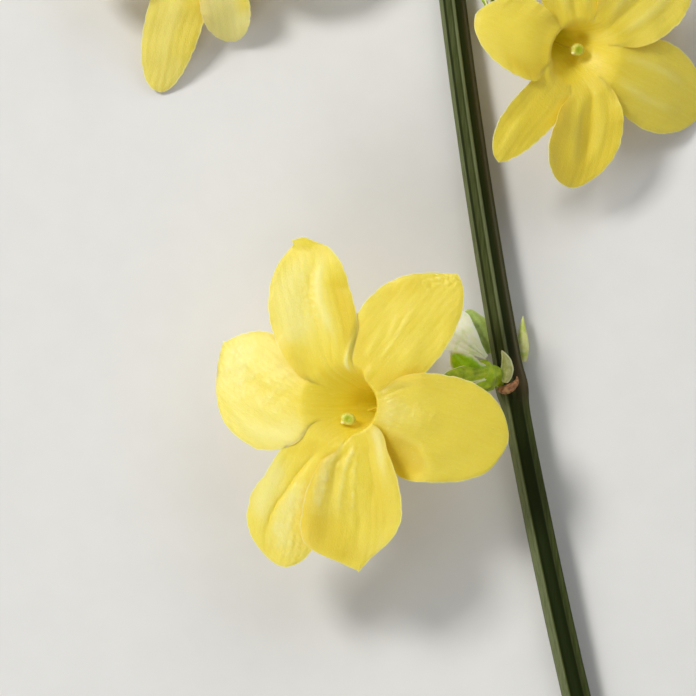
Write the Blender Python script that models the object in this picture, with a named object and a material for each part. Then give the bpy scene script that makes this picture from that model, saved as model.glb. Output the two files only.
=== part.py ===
"""A cut sprig of winter jasmine in bloom, lying on a flat surface with its flowers facing up.

Lengths are in millimetres until a mesh is made. +X is to the right, +Y runs towards the upper cut, +Z is up.
Everything is laid out from one point, the layout centre, which stands at LAYOUT_CENTRE in the part's frame.
"""

import math
from collections import namedtuple

import bpy
from mathutils import Matrix, Vector

MM = 0.001
LAYOUT_CENTRE = Vector((-2.97, -5.64, 0.0))
UP = Vector((0.0, 0.0, 1.0))
CLEARANCE = 0.30
CURVE_PULL = 0.42
SHARP_EDGE = 50.0

# The main stem is four-angled. It bends sideways in a parabola and arches a little off the surface.
STEM_LOW, STEM_HIGH = -33.5, 38.5
STEM_X, STEM_LEAN, STEM_BOW = 13.20, -0.178, 0.00095
STEM_RADIUS_LOW, STEM_RADIUS_HIGH = 1.34, 1.12
STEM_ARCH, STEM_GROOVE = 1.1, 0.16
STEM_SIDES, STEM_RINGS = 16, 33
NODE_Y, UPPER_NODE_Y = -3.4, 33.0
NODE_SWELLING, NODE_LENGTH = 0.16, 1.3
RIDGE_TURN_ABOVE, RIDGE_TURN_BELOW = -10.0, 12.0

# The side shoot leaves the upper node and carries the left bloom.
SHOOT_TIP = Vector((1.0, 37.0, 2.3))
SHOOT_END_WAY = Vector((-0.90, 0.42, 0.12))
SHOOT_RADIUS, SHOOT_TIP_RADIUS = 0.82, 0.62
SHOOT_SIDES, SHOOT_RINGS = 12, 11

# A corolla is a tube that opens into a funnel and a limb of six lobes. Its sheet is thicker than a real petal.
SHEET = 0.30
TUBE_SIDES, TUBE_RINGS = 14, 10
TUBE_FOOT_RADIUS, TUBE_TOP_RADIUS, TUBE_FLARE = 0.78, 1.70, 1.6
TUBE_FOOT_WALL, TUBE_TOP_WALL = 0.28, 0.40
FUNNEL_FOOT, FUNNEL_FLAT, FUNNEL_DEPTH, SKIRT = 1.50, 3.90, 2.60, 0.70
LOBE_FOOT_HALF_WIDTH, TIP_HALF_WIDTH = 0.93, 0.16
LOBE_ROWS, LOBE_COLUMNS = 10, 6
CUP_FROM, CUP_FULL = 0.10, 0.50
OVERLAP_AT_FOOT, RISE_FROM, RISE_FULL, RISE_POWER = 0.08, 0.03, 0.35, 1.5

STYLE_RADIUS, STIGMA_RADIUS, STYLE_SIDES = 0.17, 0.46, 8
STYLE_TURNS, STIGMA_RINGS = 4, 5

# A calyx is a short stalk, a cup that holds the tube's foot, and six pointed sepals.
CALYX_SIDES = 12
STALK_RADIUS, STALK_SHARES = 0.44, (1.15, 1.0, 1.0, 1.1, 1.7)
CUP_RADIUS, CUP_WALL, CUP_FLOOR, CUP_DEPTH = 1.36, 0.24, 0.45, 1.30
SHOULDER_DEPTH, SHOULDER_SHARE, CUP_FOOT_SHARE = 0.27, 0.85, 0.97
SEPAL_HALF_WIDTH, SEPAL_FOOT, SEPAL_WIDEST, SEPAL_TAPER = 0.86, 0.74, 0.40, 0.75
SEPAL_SHEET, SEPAL_SEAT, SEPAL_OPENING = 0.20, 0.91, 1.3
SEPAL_ROWS, SEPAL_COLUMNS = 7, 4

# A leaf's width and a bud's radius are a share of their widest: one at the foot, one at the tip, and a belly.
LEAF_SHEET, LEAF_ROWS, LEAF_COLUMNS = 0.20, 9, 4
LEAF_BELLY = 0.85
BUD_SIDES, BUD_RINGS = 8, 9
BUD_FOOT, BUD_TIP, BUD_BELLY, BUD_BELLY_PLACE = 0.45, 0.12, 0.72, 0.85
FINEST_HALF_WIDTH = 0.08

Side = namedtuple("Side", "half_width widest taper rise")
Lobe = namedtuple("Lobe", "foot tip reach left right lift curl cup")
Bloom = namedtuple("Bloom", "name throat facing lean lobes stalk_foot stalk_way base base_way stigma")
Sepal = namedtuple("Sepal", "around length flare")
Leaf = namedtuple("Leaf", "name foot foot_way tip tip_way facing half_width cup foot_share belly blunt")
Bud = namedtuple("Bud", "name foot foot_way tip tip_way radius")

# Lobe angles run anticlockwise from the bloom's own right, in degrees. A Side is the half width, where along
# the lobe it is reached, how bluntly the edge closes to the tip, and how far it rises over its neighbour.
CENTRE_LOBES = (
    Lobe(115, 105, 14.5, Side(4.0, 0.57, 0.76, 0.55), Side(3.6, 0.61, 0.74, 0.55), 4, -1.6, 0.3),
    Lobe(52, 50, 14.3, Side(4.5, 0.60, 1.10, -0.50), Side(3.6, 0.48, 0.65, -0.50), 2, -0.6, 0.7),
    Lobe(-5, -13, 13.8, Side(4.0, 0.64, 0.54, 0.55), Side(5.7, 0.58, 0.62, -0.60), 4, -1.0, 0.2),
    Lobe(-67, -86, 14.0, Side(2.9, 0.67, 1.30, 0.55), Side(5.8, 0.75, 1.30, 0.65), 2, -1.8, 0.1),
    Lobe(-126, -113, 14.6, Side(2.9, 0.71, 0.52, -0.70), Side(3.8, 0.83, 0.63, -0.55), -6, -1.8, 0.4),
    Lobe(178, 153, 11.6, Side(6.4, 0.82, 1.05, 0.50), Side(3.5, 0.70, 1.30, -0.55), -12, -2.2, 0.4),
)
RIGHT_LOBES = (
    Lobe(165, 162, 9.9, Side(3.8, 0.49, 0.46, 0.50), Side(2.5, 0.67, 0.60, 0.50), 4, -1.8, 0.5),
    Lobe(102, 100, 13.0, Side(3.6, 0.60, 0.70, -0.50), Side(3.9, 0.62, 0.70, -0.50), 4, -1.4, 0.4),
    Lobe(42, 40, 13.4, Side(4.1, 0.62, 0.66, 0.50), Side(3.8, 0.60, 0.70, 0.50), 0, -1.6, 0.3),
    Lobe(-16, -22, 13.2, Side(3.9, 0.60, 0.66, -0.50), Side(3.9, 0.62, 0.66, -0.50), 0, -1.4, 0.4),
    Lobe(-72, -88, 11.4, Side(3.0, 0.60, 0.62, 0.50), Side(4.0, 0.66, 0.67, 0.50), 2, -1.4, 0.4),
    Lobe(-133, -127, 11.5, Side(2.1, 0.39, 0.71, -0.50), Side(2.4, 0.65, 0.47, -0.50), 4, -1.2, 0.9),
)
LEFT_LOBES = (
    Lobe(-112, -105, 14.9, Side(2.4, 0.43, 0.55, -0.50), Side(2.6, 0.44, 0.39, -0.50), 0, -0.7, 0.4),
    Lobe(-64, -75, 10.2, Side(1.9, 0.51, 0.69, 0.50), Side(2.4, 0.57, 0.70, 0.50), 0, -2.2, 0.2),
    Lobe(-4, -6, 12.6, Side(3.9, 0.62, 0.66, -0.50), Side(3.8, 0.60, 0.66, -0.50), 6, -1.4, 0.4),
    Lobe(58, 58, 13.4, Side(3.9, 0.60, 0.70, 0.50), Side(3.9, 0.62, 0.70, 0.50), 4, -1.6, 0.3),
    Lobe(118, 118, 13.2, Side(3.8, 0.62, 0.66, -0.50), Side(3.9, 0.60, 0.66, -0.50), 4, -1.4, 0.4),
    Lobe(182, 184, 11.9, Side(4.0, 0.62, 0.60, 0.50), Side(3.8, 0.62, 0.60, 0.50), 8, -1.0, 0.4),
)

# Each sepal stands at an angle round the calyx, from the side that faces up, and opens out by its flare.
SEPAL_RING = (
    Sepal(24, 4.2, 1.30),
    Sepal(58, 3.1, 2.20),
    Sepal(138, 1.9, 0.40),
    Sepal(195, 3.1, 0.90),
    Sepal(255, 3.2, 1.00),
    Sepal(320, 3.4, 1.00),
)


def smooth_step(value, low, high):
    """0 below low, 1 above high, and a smooth rise between them."""
    share = min(max((value - low) / (high - low), 0.0), 1.0)
    return share * share * (3.0 - 2.0 * share)


def stem_radius(y):
    """Radius over the ridges, before the swellings at the nodes."""
    share = (y - STEM_LOW) / (STEM_HIGH - STEM_LOW)
    return STEM_RADIUS_LOW + (STEM_RADIUS_HIGH - STEM_RADIUS_LOW) * share


def node_radius(y):
    """Radius over the ridges, with the swellings at the nodes."""
    swelling = sum(math.exp(-(((y - node) / NODE_LENGTH) ** 2)) for node in (NODE_Y, UPPER_NODE_Y))
    return stem_radius(y) * (1.0 + NODE_SWELLING * swelling)


def stem_axis(y):
    """The middle of the stem at a distance y along the layout."""
    middle, half = (STEM_HIGH + STEM_LOW) / 2, (STEM_HIGH - STEM_LOW) / 2
    arch = STEM_ARCH * (1.0 - ((y - middle) / half) ** 2)
    return Vector((STEM_X + STEM_LEAN * y + STEM_BOW * y * y, y, stem_radius(y) + arch))


def out_of_stem(y, around):
    """The way straight out of the stem. around is in degrees from its right, over the top."""
    step = 0.01
    way = (stem_axis(y + step) - stem_axis(y - step)).normalized()
    right = way.cross(UP).normalized()
    angle = math.radians(around)
    return right * math.cos(angle) + right.cross(way) * math.sin(angle)


def on_stem(y, around, out=CLEARANCE):
    """A point beside the stem, at a distance out from its ridges."""
    return stem_axis(y) + out_of_stem(y, around) * (node_radius(y) + out)


def curve_points(start, start_way, end, end_way, count):
    """Points along a cubic curve from start to end, leaving and arriving along the given ways."""
    pull = (end - start).length * CURVE_PULL
    handles = (start, start + start_way.normalized() * pull, end - end_way.normalized() * pull, end)
    points = []
    for index in range(count):
        t = index / (count - 1)
        weights = ((1 - t) ** 3, 3 * t * (1 - t) ** 2, 3 * t * t * (1 - t), t**3)
        points.append(sum((handle * weight for handle, weight in zip(handles, weights)), Vector()))
    return points


def frames_along(points):
    """A right and an up vector square to the path at each point, carried along it without twist."""
    ways = [(b - a).normalized() for a, b in zip(points, points[1:])]
    tangents = [ways[0]] + [(a + b).normalized() for a, b in zip(ways, ways[1:])] + [ways[-1]]
    right = tangents[0].cross(UP).normalized()
    frames = []
    for before, tangent in zip([tangents[0]] + tangents, tangents):
        right = before.rotation_difference(tangent) @ right
        right = (right - tangent * right.dot(tangent)).normalized()
        frames.append((right, right.cross(tangent)))
    return frames


def rings_along(points, radius_at, sides):
    """Rings of points round a path. radius_at(index, angle) gives each radius."""
    rings = []
    for index, (point, (right, up)) in enumerate(zip(points, frames_along(points))):
        ring = []
        for side in range(sides):
            angle = 2 * math.pi * side / sides
            reach = radius_at(index, angle)
            ring.append(point + (right * math.cos(angle) + up * math.sin(angle)) * reach)
        rings.append(ring)
    return rings


def round_rings(points, radii, sides):
    return rings_along(points, lambda index, _angle: radii[index], sides)


def frame_at(origin, facing):
    """A frame at origin whose Z is the way it faces and whose Y leans to the layout's Y."""
    z = facing.normalized()
    x = Vector((0.0, 1.0, 0.0)).cross(z).normalized()
    return Matrix.Translation(origin) @ Matrix((x, z.cross(x), z)).transposed().to_4x4()


def closed_rings(rings):
    """Points and faces of a solid whose rings follow one another, with a flat face over each end."""
    sides = len(rings[0])
    points = [point for ring in rings for point in ring]
    faces = [tuple(range(sides))]
    for row in range(len(rings) - 1):
        for side in range(sides):
            a, b = row * sides + side, row * sides + (side + 1) % sides
            faces.append((a, a + sides, b + sides, b))
    last = (len(rings) - 1) * sides
    faces.append(tuple(range(last + sides - 1, last - 1, -1)))
    return points, faces


def closed_sheet(rows, thickness):
    """Points and faces of a thin solid whose middle surface is the grid of points in rows."""
    count, width = len(rows), len(rows[0])
    front, back = [], []
    for i, row in enumerate(rows):
        for j, point in enumerate(row):
            along = rows[min(i + 1, count - 1)][j] - rows[max(i - 1, 0)][j]
            across = row[min(j + 1, width - 1)] - row[max(j - 1, 0)]
            normal = across.cross(along).normalized()
            front.append(point + normal * (thickness / 2))
            back.append(point - normal * (thickness / 2))
    under = count * width
    faces = []
    for i in range(count - 1):
        for j in range(width - 1):
            a, b, c, d = i * width + j, i * width + j + 1, (i + 1) * width + j + 1, (i + 1) * width + j
            faces.append((a, b, c, d))
            faces.append((d + under, c + under, b + under, a + under))
    border = list(range(width))
    border += [i * width + width - 1 for i in range(1, count)]
    border += [(count - 1) * width + j for j in range(width - 2, -1, -1)]
    border += [i * width for i in range(count - 2, 0, -1)]
    for a, b in zip(border, border[1:] + border[:1]):
        faces.append((a, a + under, b + under, b))
    return front + back, faces


def material(name, colour, roughness):
    made = bpy.data.materials.new(name)
    made.use_nodes = True
    shader = made.node_tree.nodes["Principled BSDF"]
    shader.inputs["Base Color"].default_value = (*colour, 1.0)
    shader.inputs["Roughness"].default_value = roughness
    shader.inputs["Metallic"].default_value = 0.0
    return made


def add_object(name, shape, origin, finish, parent):
    """A named object placed at origin, from the points and faces of a shape."""
    points, faces = shape
    mesh = bpy.data.meshes.new(name)
    mesh.from_pydata([(point - origin) * MM for point in points], [], faces)
    mesh.materials.append(finish)
    mesh.shade_smooth()
    mesh.set_sharp_from_angle(angle=math.radians(SHARP_EDGE))
    made = bpy.data.objects.new(name, mesh)
    bpy.context.scene.collection.objects.link(made)
    made.parent = parent
    made.location = origin * MM
    return made


def join_all(target, others):
    """Joins the other objects to the target by one union, and removes them."""
    pieces = bpy.data.collections.new(target.name + "_pieces")
    for other in others:
        pieces.objects.link(other)
    union = target.modifiers.new("union", "BOOLEAN")
    union.operation = "UNION"
    union.solver = "MANIFOLD"
    union.operand_type = "COLLECTION"
    union.collection = pieces
    bpy.context.view_layer.update()
    graph = bpy.context.evaluated_depsgraph_get()
    joined = bpy.data.meshes.new_from_object(target.evaluated_get(graph))
    target.modifiers.clear()
    target.data = joined
    for other in others:
        bpy.data.objects.remove(other)
    bpy.data.collections.remove(pieces)


def make_stem(finish, parent):
    """The four-angled main stem, full on its ridges and less in the grooves between them."""
    heights = [STEM_LOW + (STEM_HIGH - STEM_LOW) * i / (STEM_RINGS - 1) for i in range(STEM_RINGS)]

    def radius(index, angle):
        y = heights[index]
        above = smooth_step(y, NODE_Y - 2, NODE_Y + 2)
        turn = math.radians(RIDGE_TURN_BELOW + (RIDGE_TURN_ABOVE - RIDGE_TURN_BELOW) * above)
        wave = math.cos(4 * (angle - turn))
        return node_radius(y) * (1.0 - STEM_GROOVE / 2 + STEM_GROOVE / 2 * wave)

    rings = rings_along([stem_axis(y) for y in heights], radius, STEM_SIDES)
    add_object("stem", closed_rings(rings), stem_axis(STEM_LOW), finish, parent)


def make_shoot(finish, parent):
    """The side shoot, a tapering round twig from the upper node's left axil."""
    foot = on_stem(UPPER_NODE_Y + 0.4, 165)
    path = curve_points(foot, out_of_stem(UPPER_NODE_Y + 0.4, 165), SHOOT_TIP, SHOOT_END_WAY, SHOOT_RINGS)
    shares = [index / (SHOOT_RINGS - 1) for index in range(SHOOT_RINGS)]
    radii = [SHOOT_RADIUS + (SHOOT_TIP_RADIUS - SHOOT_RADIUS) * share for share in shares]
    add_object("side_shoot", closed_rings(round_rings(path, radii, SHOOT_SIDES)), foot, finish, parent)


def half_width(side, t):
    """Half width of a lobe at t, from 0 at its foot in the funnel to 1 at its tip."""
    if t < side.widest:
        foot = LOBE_FOOT_HALF_WIDTH / side.half_width
        share = foot + (1 - foot) * math.sin(math.pi / 2 * max(t, 0.0) / side.widest)
    else:
        share = max(0.0, 1.0 - ((t - side.widest) / (1.0 - side.widest)) ** 2) ** side.taper
    return max(share * side.half_width, TIP_HALF_WIDTH)


def lobe_point(lobe, lean, t, across):
    """A point of a lobe's middle surface in the bloom's frame. across runs from -1, right, to 1, left."""
    side = lobe.left if across > 0 else lobe.right
    radius = FUNNEL_FOOT + (lobe.reach - FUNNEL_FOOT) * max(t, 0.0)
    angle = math.radians(lobe.foot + (lobe.tip - lobe.foot) * max(t, 0.0))
    angle += across * half_width(side, t) / radius
    depth = FUNNEL_DEPTH * max(0.0, (FUNNEL_FLAT - radius) / (FUNNEL_FLAT - FUNNEL_FOOT)) ** 2
    beyond = max(0.0, radius - FUNNEL_FLAT)
    height = SKIRT * min(t, 0.0) - depth
    height += math.tan(math.radians(lobe.lift)) * beyond
    height += lobe.curl * (beyond / (lobe.reach - FUNNEL_FLAT)) ** 2
    height += lobe.cup * across**2 * smooth_step(t, CUP_FROM, CUP_FULL)
    foot_rise = math.copysign(OVERLAP_AT_FOOT, side.rise)
    rise = foot_rise + (side.rise - foot_rise) * smooth_step(t, RISE_FROM, RISE_FULL)
    height += rise * abs(across) ** RISE_POWER
    x = radius * math.cos(angle) + depth * lean.x
    y = radius * math.sin(angle) + depth * lean.y
    return Vector((x, y, height))


def tube_path(bloom):
    """Points from the tube's foot, in the calyx, to the foot of the funnel."""
    frame = frame_at(bloom.throat, bloom.facing)
    foot = bloom.base + bloom.base_way.normalized() * (CUP_FLOOR + CLEARANCE)
    top = frame @ (Vector((bloom.lean.x, bloom.lean.y, -1.0)) * FUNNEL_DEPTH)
    return curve_points(foot, bloom.base_way, top, bloom.facing, TUBE_RINGS)


def make_corolla(bloom, finish, parent):
    """The tube, hollow from its mouth to a floor above its foot, joined to the six lobes."""
    name = "bloom_" + bloom.name
    frame = frame_at(bloom.throat, bloom.facing)
    path = tube_path(bloom)
    shares = [index / (TUBE_RINGS - 1) for index in range(TUBE_RINGS)]
    outer = [TUBE_FOOT_RADIUS + (TUBE_TOP_RADIUS - TUBE_FOOT_RADIUS) * share**TUBE_FLARE for share in shares]
    walls = [TUBE_FOOT_WALL + (TUBE_TOP_WALL - TUBE_FOOT_WALL) * share for share in shares]
    inner = [radius - wall for radius, wall in zip(outer, walls)]
    rings = round_rings(path, outer, TUBE_SIDES) + round_rings(path, inner, TUBE_SIDES)[:0:-1]
    tube = add_object(name, closed_rings(rings), bloom.throat, finish, parent)
    steps = [-1.0] + [0.5 - 0.5 * math.cos(math.pi * i / (LOBE_ROWS - 1)) for i in range(LOBE_ROWS)]
    places = [1.0 - 2.0 * j / LOBE_COLUMNS for j in range(LOBE_COLUMNS + 1)]
    lobes = []
    for lobe in bloom.lobes:
        rows = [[frame @ lobe_point(lobe, bloom.lean, t, place) for place in places] for t in steps]
        lobes.append(add_object(name + "_lobe", closed_sheet(rows, SHEET), bloom.throat, finish, parent))
    join_all(tube, lobes)


def make_style(bloom, finish, parent):
    """The thread-like style that stands in the tube and ends in a round stigma at the throat."""
    head = frame_at(bloom.throat, bloom.facing) @ bloom.stigma
    path = tube_path(bloom)[1:]
    way = (head - path[-1]).normalized()
    neck = head - way * STIGMA_RADIUS
    path[0] = path[0] + (path[1] - path[0]).normalized() * CLEARANCE
    path = path[:-2] + curve_points(path[-2], path[-1] - path[-2], neck, way, STYLE_TURNS)
    radii = [STYLE_RADIUS] * len(path)
    for ring in range(1, STIGMA_RINGS + 1):
        turn = math.pi * ring / (STIGMA_RINGS + 0.5)
        path.append(head - way * STIGMA_RADIUS * math.cos(turn))
        radii.append(STIGMA_RADIUS * math.sin(turn))
    shape = closed_rings(round_rings(path, radii, STYLE_SIDES))
    add_object("style_" + bloom.name, shape, head, finish, parent)


def sepal_point(sepal, s, across):
    """A point of a sepal in the calyx's frame. s runs from the cup, 0, to the tip, 1."""
    radius = CUP_RADIUS - CUP_WALL / 2 + sepal.flare * s**SEPAL_OPENING
    if s < SEPAL_WIDEST:
        share = SEPAL_FOOT + (1 - SEPAL_FOOT) * math.sin(math.pi / 2 * s / SEPAL_WIDEST)
    else:
        share = (1 - ((s - SEPAL_WIDEST) / (1 - SEPAL_WIDEST)) ** 2) ** SEPAL_TAPER
    width = max(SEPAL_HALF_WIDTH * share, FINEST_HALF_WIDTH)
    angle = math.radians(sepal.around) + across * width / radius
    return Vector((radius * math.cos(angle), radius * math.sin(angle), SEPAL_SEAT + sepal.length * s))


def make_calyx(bloom, finish, parent):
    """The stalk and its cup, with the sepals joined to the rim."""
    way = bloom.base_way.normalized()
    path = curve_points(bloom.stalk_foot, bloom.stalk_way, bloom.base, way, len(STALK_SHARES))
    outer = [STALK_RADIUS * share for share in STALK_SHARES]
    cup_rings = ((SHOULDER_DEPTH, SHOULDER_SHARE), (CUP_FLOOR, CUP_FOOT_SHARE), (CUP_DEPTH, 1.0))
    for depth, share in cup_rings:
        path.append(bloom.base + way * depth)
        outer.append(CUP_RADIUS * share)
    inner = [radius - CUP_WALL for radius in outer]
    rings = round_rings(path, outer, CALYX_SIDES) + round_rings(path, inner, CALYX_SIDES)[:-3:-1]
    cup = add_object("calyx_" + bloom.name, closed_rings(rings), bloom.base, finish, parent)
    frame = frame_at(bloom.base, way)
    steps = [i / (SEPAL_ROWS - 1) for i in range(SEPAL_ROWS)]
    places = [1.0 - 2.0 * j / SEPAL_COLUMNS for j in range(SEPAL_COLUMNS + 1)]
    sepals = []
    for sepal in SEPAL_RING:
        rows = [[frame @ sepal_point(sepal, s, place) for place in places] for s in steps]
        sepals.append(add_object("sepal", closed_sheet(rows, SEPAL_SHEET), bloom.base, finish, parent))
    join_all(cup, sepals)


def make_leaf(leaf, finish, parent):
    """A small leaf whose belly moves to its foot where belly is under 1, with its edges lifted by cup."""
    path = curve_points(leaf.foot, leaf.foot_way, leaf.tip, leaf.tip_way, LEAF_ROWS)
    places = [-1.0 + 2.0 * j / LEAF_COLUMNS for j in range(LEAF_COLUMNS + 1)]
    rows = []
    for index, point in enumerate(path):
        s = index / (LEAF_ROWS - 1)
        along = (path[min(index + 1, LEAF_ROWS - 1)] - path[max(index - 1, 0)]).normalized()
        side = along.cross(leaf.facing).normalized()
        belly = max(math.sin(math.pi * s**leaf.belly), 0.0) ** leaf.blunt
        share = leaf.foot_share * (1 - s) + LEAF_BELLY * belly
        width = max(leaf.half_width * share, FINEST_HALF_WIDTH)
        lift = side.cross(along) * leaf.cup * share
        rows.append([point + side * width * place + lift * place**2 for place in places])
    return add_object(leaf.name, closed_sheet(rows, LEAF_SHEET), leaf.foot, finish, parent)


def make_bud(bud, finish, parent):
    """A closed bud, thickest below its middle and pointed at its tip."""
    path = curve_points(bud.foot, bud.foot_way, bud.tip, bud.tip_way, BUD_RINGS)
    radii = []
    for index in range(BUD_RINGS):
        s = index / (BUD_RINGS - 1)
        share = BUD_FOOT * (1 - s) + BUD_TIP * s + BUD_BELLY * math.sin(math.pi * s**BUD_BELLY_PLACE)
        radii.append(bud.radius * share)
    return add_object(bud.name, closed_rings(round_rings(path, radii, BUD_SIDES)), bud.foot, finish, parent)


def blooms():
    """The three blooms, from the one that faces straight up to the two that lean."""
    centre = Bloom(
        name="centre",
        throat=Vector((-0.08, -4.75, 12.5)),
        facing=Vector((0.0, 0.0, 1.0)),
        lean=Vector((0.45, -0.03)),
        lobes=CENTRE_LOBES,
        stalk_foot=on_stem(NODE_Y + 0.8, 126),
        stalk_way=out_of_stem(NODE_Y + 0.8, 126),
        base=Vector((12.25, -2.12, 4.80)),
        base_way=Vector((-0.93, -0.24, 0.28)),
        stigma=Vector((0.08, -1.17, -1.10)),
    )
    right = Bloom(
        name="right",
        throat=Vector((19.6, 24.6, 7.4)),
        facing=Vector((0.42, -0.12, 0.90)),
        lean=Vector((-0.25, 0.20)),
        lobes=RIGHT_LOBES,
        stalk_foot=on_stem(UPPER_NODE_Y - 0.2, 52),
        stalk_way=out_of_stem(UPPER_NODE_Y - 0.2, 52),
        base=Vector((10.4, 32.3, 3.9)),
        base_way=Vector((0.72, -0.62, 0.22)),
        stigma=Vector((0.10, 0.30, -1.10)),
    )
    left = Bloom(
        name="left",
        throat=Vector((-12.1, 34.0, 6.91)),
        facing=Vector((0.0, -0.42, 0.906)),
        lean=Vector((0.35, 0.10)),
        lobes=LEFT_LOBES,
        stalk_foot=SHOOT_TIP + SHOOT_END_WAY.normalized() * CLEARANCE,
        stalk_way=SHOOT_END_WAY,
        base=Vector((-0.5, 37.5, 2.9)),
        base_way=Vector((-0.95, -0.16, 0.20)),
        stigma=Vector((-0.10, 0.30, -1.10)),
    )
    return centre, right, left


def make_node_growth(pale, green, brown, parent):
    """The bracts, the scar and the bud round the middle node."""
    broad = Leaf(
        name="bract_pale",
        foot=Vector((11.65, -0.80, 2.3)),
        foot_way=Vector((-0.78, 0.63, 0.15)),
        tip=Vector((6.2, 3.6, 3.4)),
        tip_way=Vector((-0.80, 0.60, 0.1)),
        facing=Vector((0.1, -0.1, 1.0)),
        half_width=2.0,
        cup=-0.30,
        foot_share=0.10,
        belly=1.2,
        blunt=1.0,
    )
    behind = Leaf(
        name="bract_green",
        foot=Vector((11.5, -0.5, 1.4)),
        foot_way=Vector((-0.45, 0.90, 0.0)),
        tip=Vector((10.85, 2.95, 1.3)),
        tip_way=Vector((0.15, 1.0, 0.0)),
        facing=UP,
        half_width=1.05,
        cup=-0.20,
        foot_share=0.35,
        belly=0.8,
        blunt=0.45,
    )
    front = Leaf(
        name="bract_front",
        foot=Vector((13.36, -3.30, 4.50)),
        foot_way=Vector((0.20, 1.0, 0.15)),
        tip=Vector((13.08, -0.20, 5.05)),
        tip_way=Vector((-0.50, 0.87, 0.10)),
        facing=UP,
        half_width=0.56,
        cup=-0.25,
        foot_share=0.35,
        belly=0.8,
        blunt=0.8,
    )
    scar = Bud(
        name="scar",
        foot=Vector((12.66, -3.30, 4.22)),
        foot_way=Vector((0.50, -1.0, 0.30)),
        tip=Vector((14.17, -2.40, 4.25)),
        tip_way=Vector((-0.40, 0.90, -0.20)),
        radius=0.40,
    )
    bud = Bud(
        name="axil_bud",
        foot=Vector((14.80, -1.15, 1.10)),
        foot_way=Vector((0.0, 1.0, 0.05)),
        tip=Vector((14.76, 2.65, 1.30)),
        tip_way=Vector((0.1, 1.0, 0.0)),
        radius=0.50,
    )
    make_leaf(broad, pale, parent)
    make_leaf(behind, green, parent)
    join_all(make_leaf(front, pale, parent), [make_bud(scar, brown, parent)])
    make_bud(bud, green, parent)


def main():
    for old in list(bpy.data.objects):
        bpy.data.objects.remove(old)
    sprig = bpy.data.objects.new("sprig", None)
    bpy.context.scene.collection.objects.link(sprig)
    sprig.location = LAYOUT_CENTRE * MM

    bark = material("stem_green", (0.075, 0.110, 0.030), 0.45)
    petal = material("petal_yellow", (0.860, 0.640, 0.090), 0.50)
    stigma = material("stigma_green", (0.480, 0.440, 0.040), 0.45)
    sepal = material("sepal_green", (0.230, 0.320, 0.015), 0.45)
    pale = material("bract_pale", (0.700, 0.720, 0.420), 0.50)
    brown = material("scar_brown", (0.300, 0.160, 0.070), 0.65)

    make_stem(bark, sprig)
    make_shoot(bark, sprig)
    for bloom in blooms():
        make_corolla(bloom, petal, sprig)
        make_style(bloom, stigma, sprig)
        make_calyx(bloom, sepal, sprig)
    make_node_growth(pale, sepal, brown, sprig)


main()
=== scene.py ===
"""The looks of a cut sprig of winter jasmine in bloom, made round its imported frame.

Lengths are in millimetres until a mesh is made. The blooms, calyxes, leaves and stem follow the same rules as the
frame's solids, from one layout centre, and are carried to finer sheets with folds, veins, ribs and thin edges.
"""

import math
from collections import namedtuple

import bpy
import numpy as np
from mathutils import Matrix, Vector


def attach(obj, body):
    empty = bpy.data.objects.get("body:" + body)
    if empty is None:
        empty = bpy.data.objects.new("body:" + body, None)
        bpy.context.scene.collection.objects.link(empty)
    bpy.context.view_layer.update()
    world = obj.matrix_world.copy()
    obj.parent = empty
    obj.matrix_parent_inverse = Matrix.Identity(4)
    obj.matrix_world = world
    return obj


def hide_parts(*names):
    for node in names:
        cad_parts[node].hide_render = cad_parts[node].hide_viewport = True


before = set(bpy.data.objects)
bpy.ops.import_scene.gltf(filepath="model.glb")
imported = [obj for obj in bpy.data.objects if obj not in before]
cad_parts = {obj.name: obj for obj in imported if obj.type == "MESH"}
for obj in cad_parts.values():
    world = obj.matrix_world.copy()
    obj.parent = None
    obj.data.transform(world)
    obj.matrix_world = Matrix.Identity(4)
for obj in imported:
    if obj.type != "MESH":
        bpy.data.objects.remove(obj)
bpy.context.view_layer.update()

MM = 0.001
LAYOUT_CENTRE = Vector((-2.97, -5.64, 0.0))
UP = Vector((0.0, 0.0, 1.0))
CLEARANCE = 0.30
CURVE_PULL = 0.42

# The camera looks straight down on the face of the middle bloom. It is far off, as the photograph's lens was long.
PIXELS_PER_MM = 12.0
PHOTO_PIXELS = 696
BLOOM_PLANE = 12.5
CAMERA_HEIGHT = 1000.0
SENSOR = 36.0

# The main stem, with the frame's own course and finer ribs.
STEM_LOW, STEM_HIGH = -33.5, 38.5
STEM_X, STEM_LEAN, STEM_BOW = 13.20, -0.178, 0.00095
STEM_RADIUS_LOW, STEM_RADIUS_HIGH = 1.34, 1.12
STEM_ARCH = 1.1
STEM_SIDES, STEM_RINGS = 144, 361
NODE_Y, UPPER_NODE_Y = -3.4, 33.0
NODE_SWELLING, NODE_LENGTH = 0.16, 1.3
RIDGE_TURN_ABOVE, RIDGE_TURN_BELOW = -2.0, 27.0

SHOOT_TIP = Vector((1.0, 37.0, 2.3))
SHOOT_END_WAY = Vector((-0.90, 0.42, 0.12))
SHOOT_RADIUS, SHOOT_TIP_RADIUS = 0.82, 0.62
SHOOT_SIDES, SHOOT_RINGS = 72, 61

# A corolla is one skin: a tube, a funnel up to the split, and six lobes beyond it.
TUBE_FOOT_RADIUS, TUBE_FLARE = 0.66, 1.6
TUBE_ROWS, FUNNEL_ROWS, LOBE_ROWS = 26, 12, 76
FUNNEL_FOOT, FUNNEL_FLAT, FUNNEL_DEPTH, SPLIT = 1.40, 3.90, 2.60, 2.85
LOBE_FOOT_HALF_WIDTH, TIP_HALF_WIDTH = 0.93, 0.02
PARTING = 2.4
PETAL_SHEET, PETAL_EDGE, EDGE_BAND = 0.17, 0.07, 0.55
THROAT_SMOOTHING = 4
THROAT_RIM, RIM_TURN, OVERLAP_OPENING = 2.40, 14.0, 3.8
OUTER_TONE = 3.0

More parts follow.
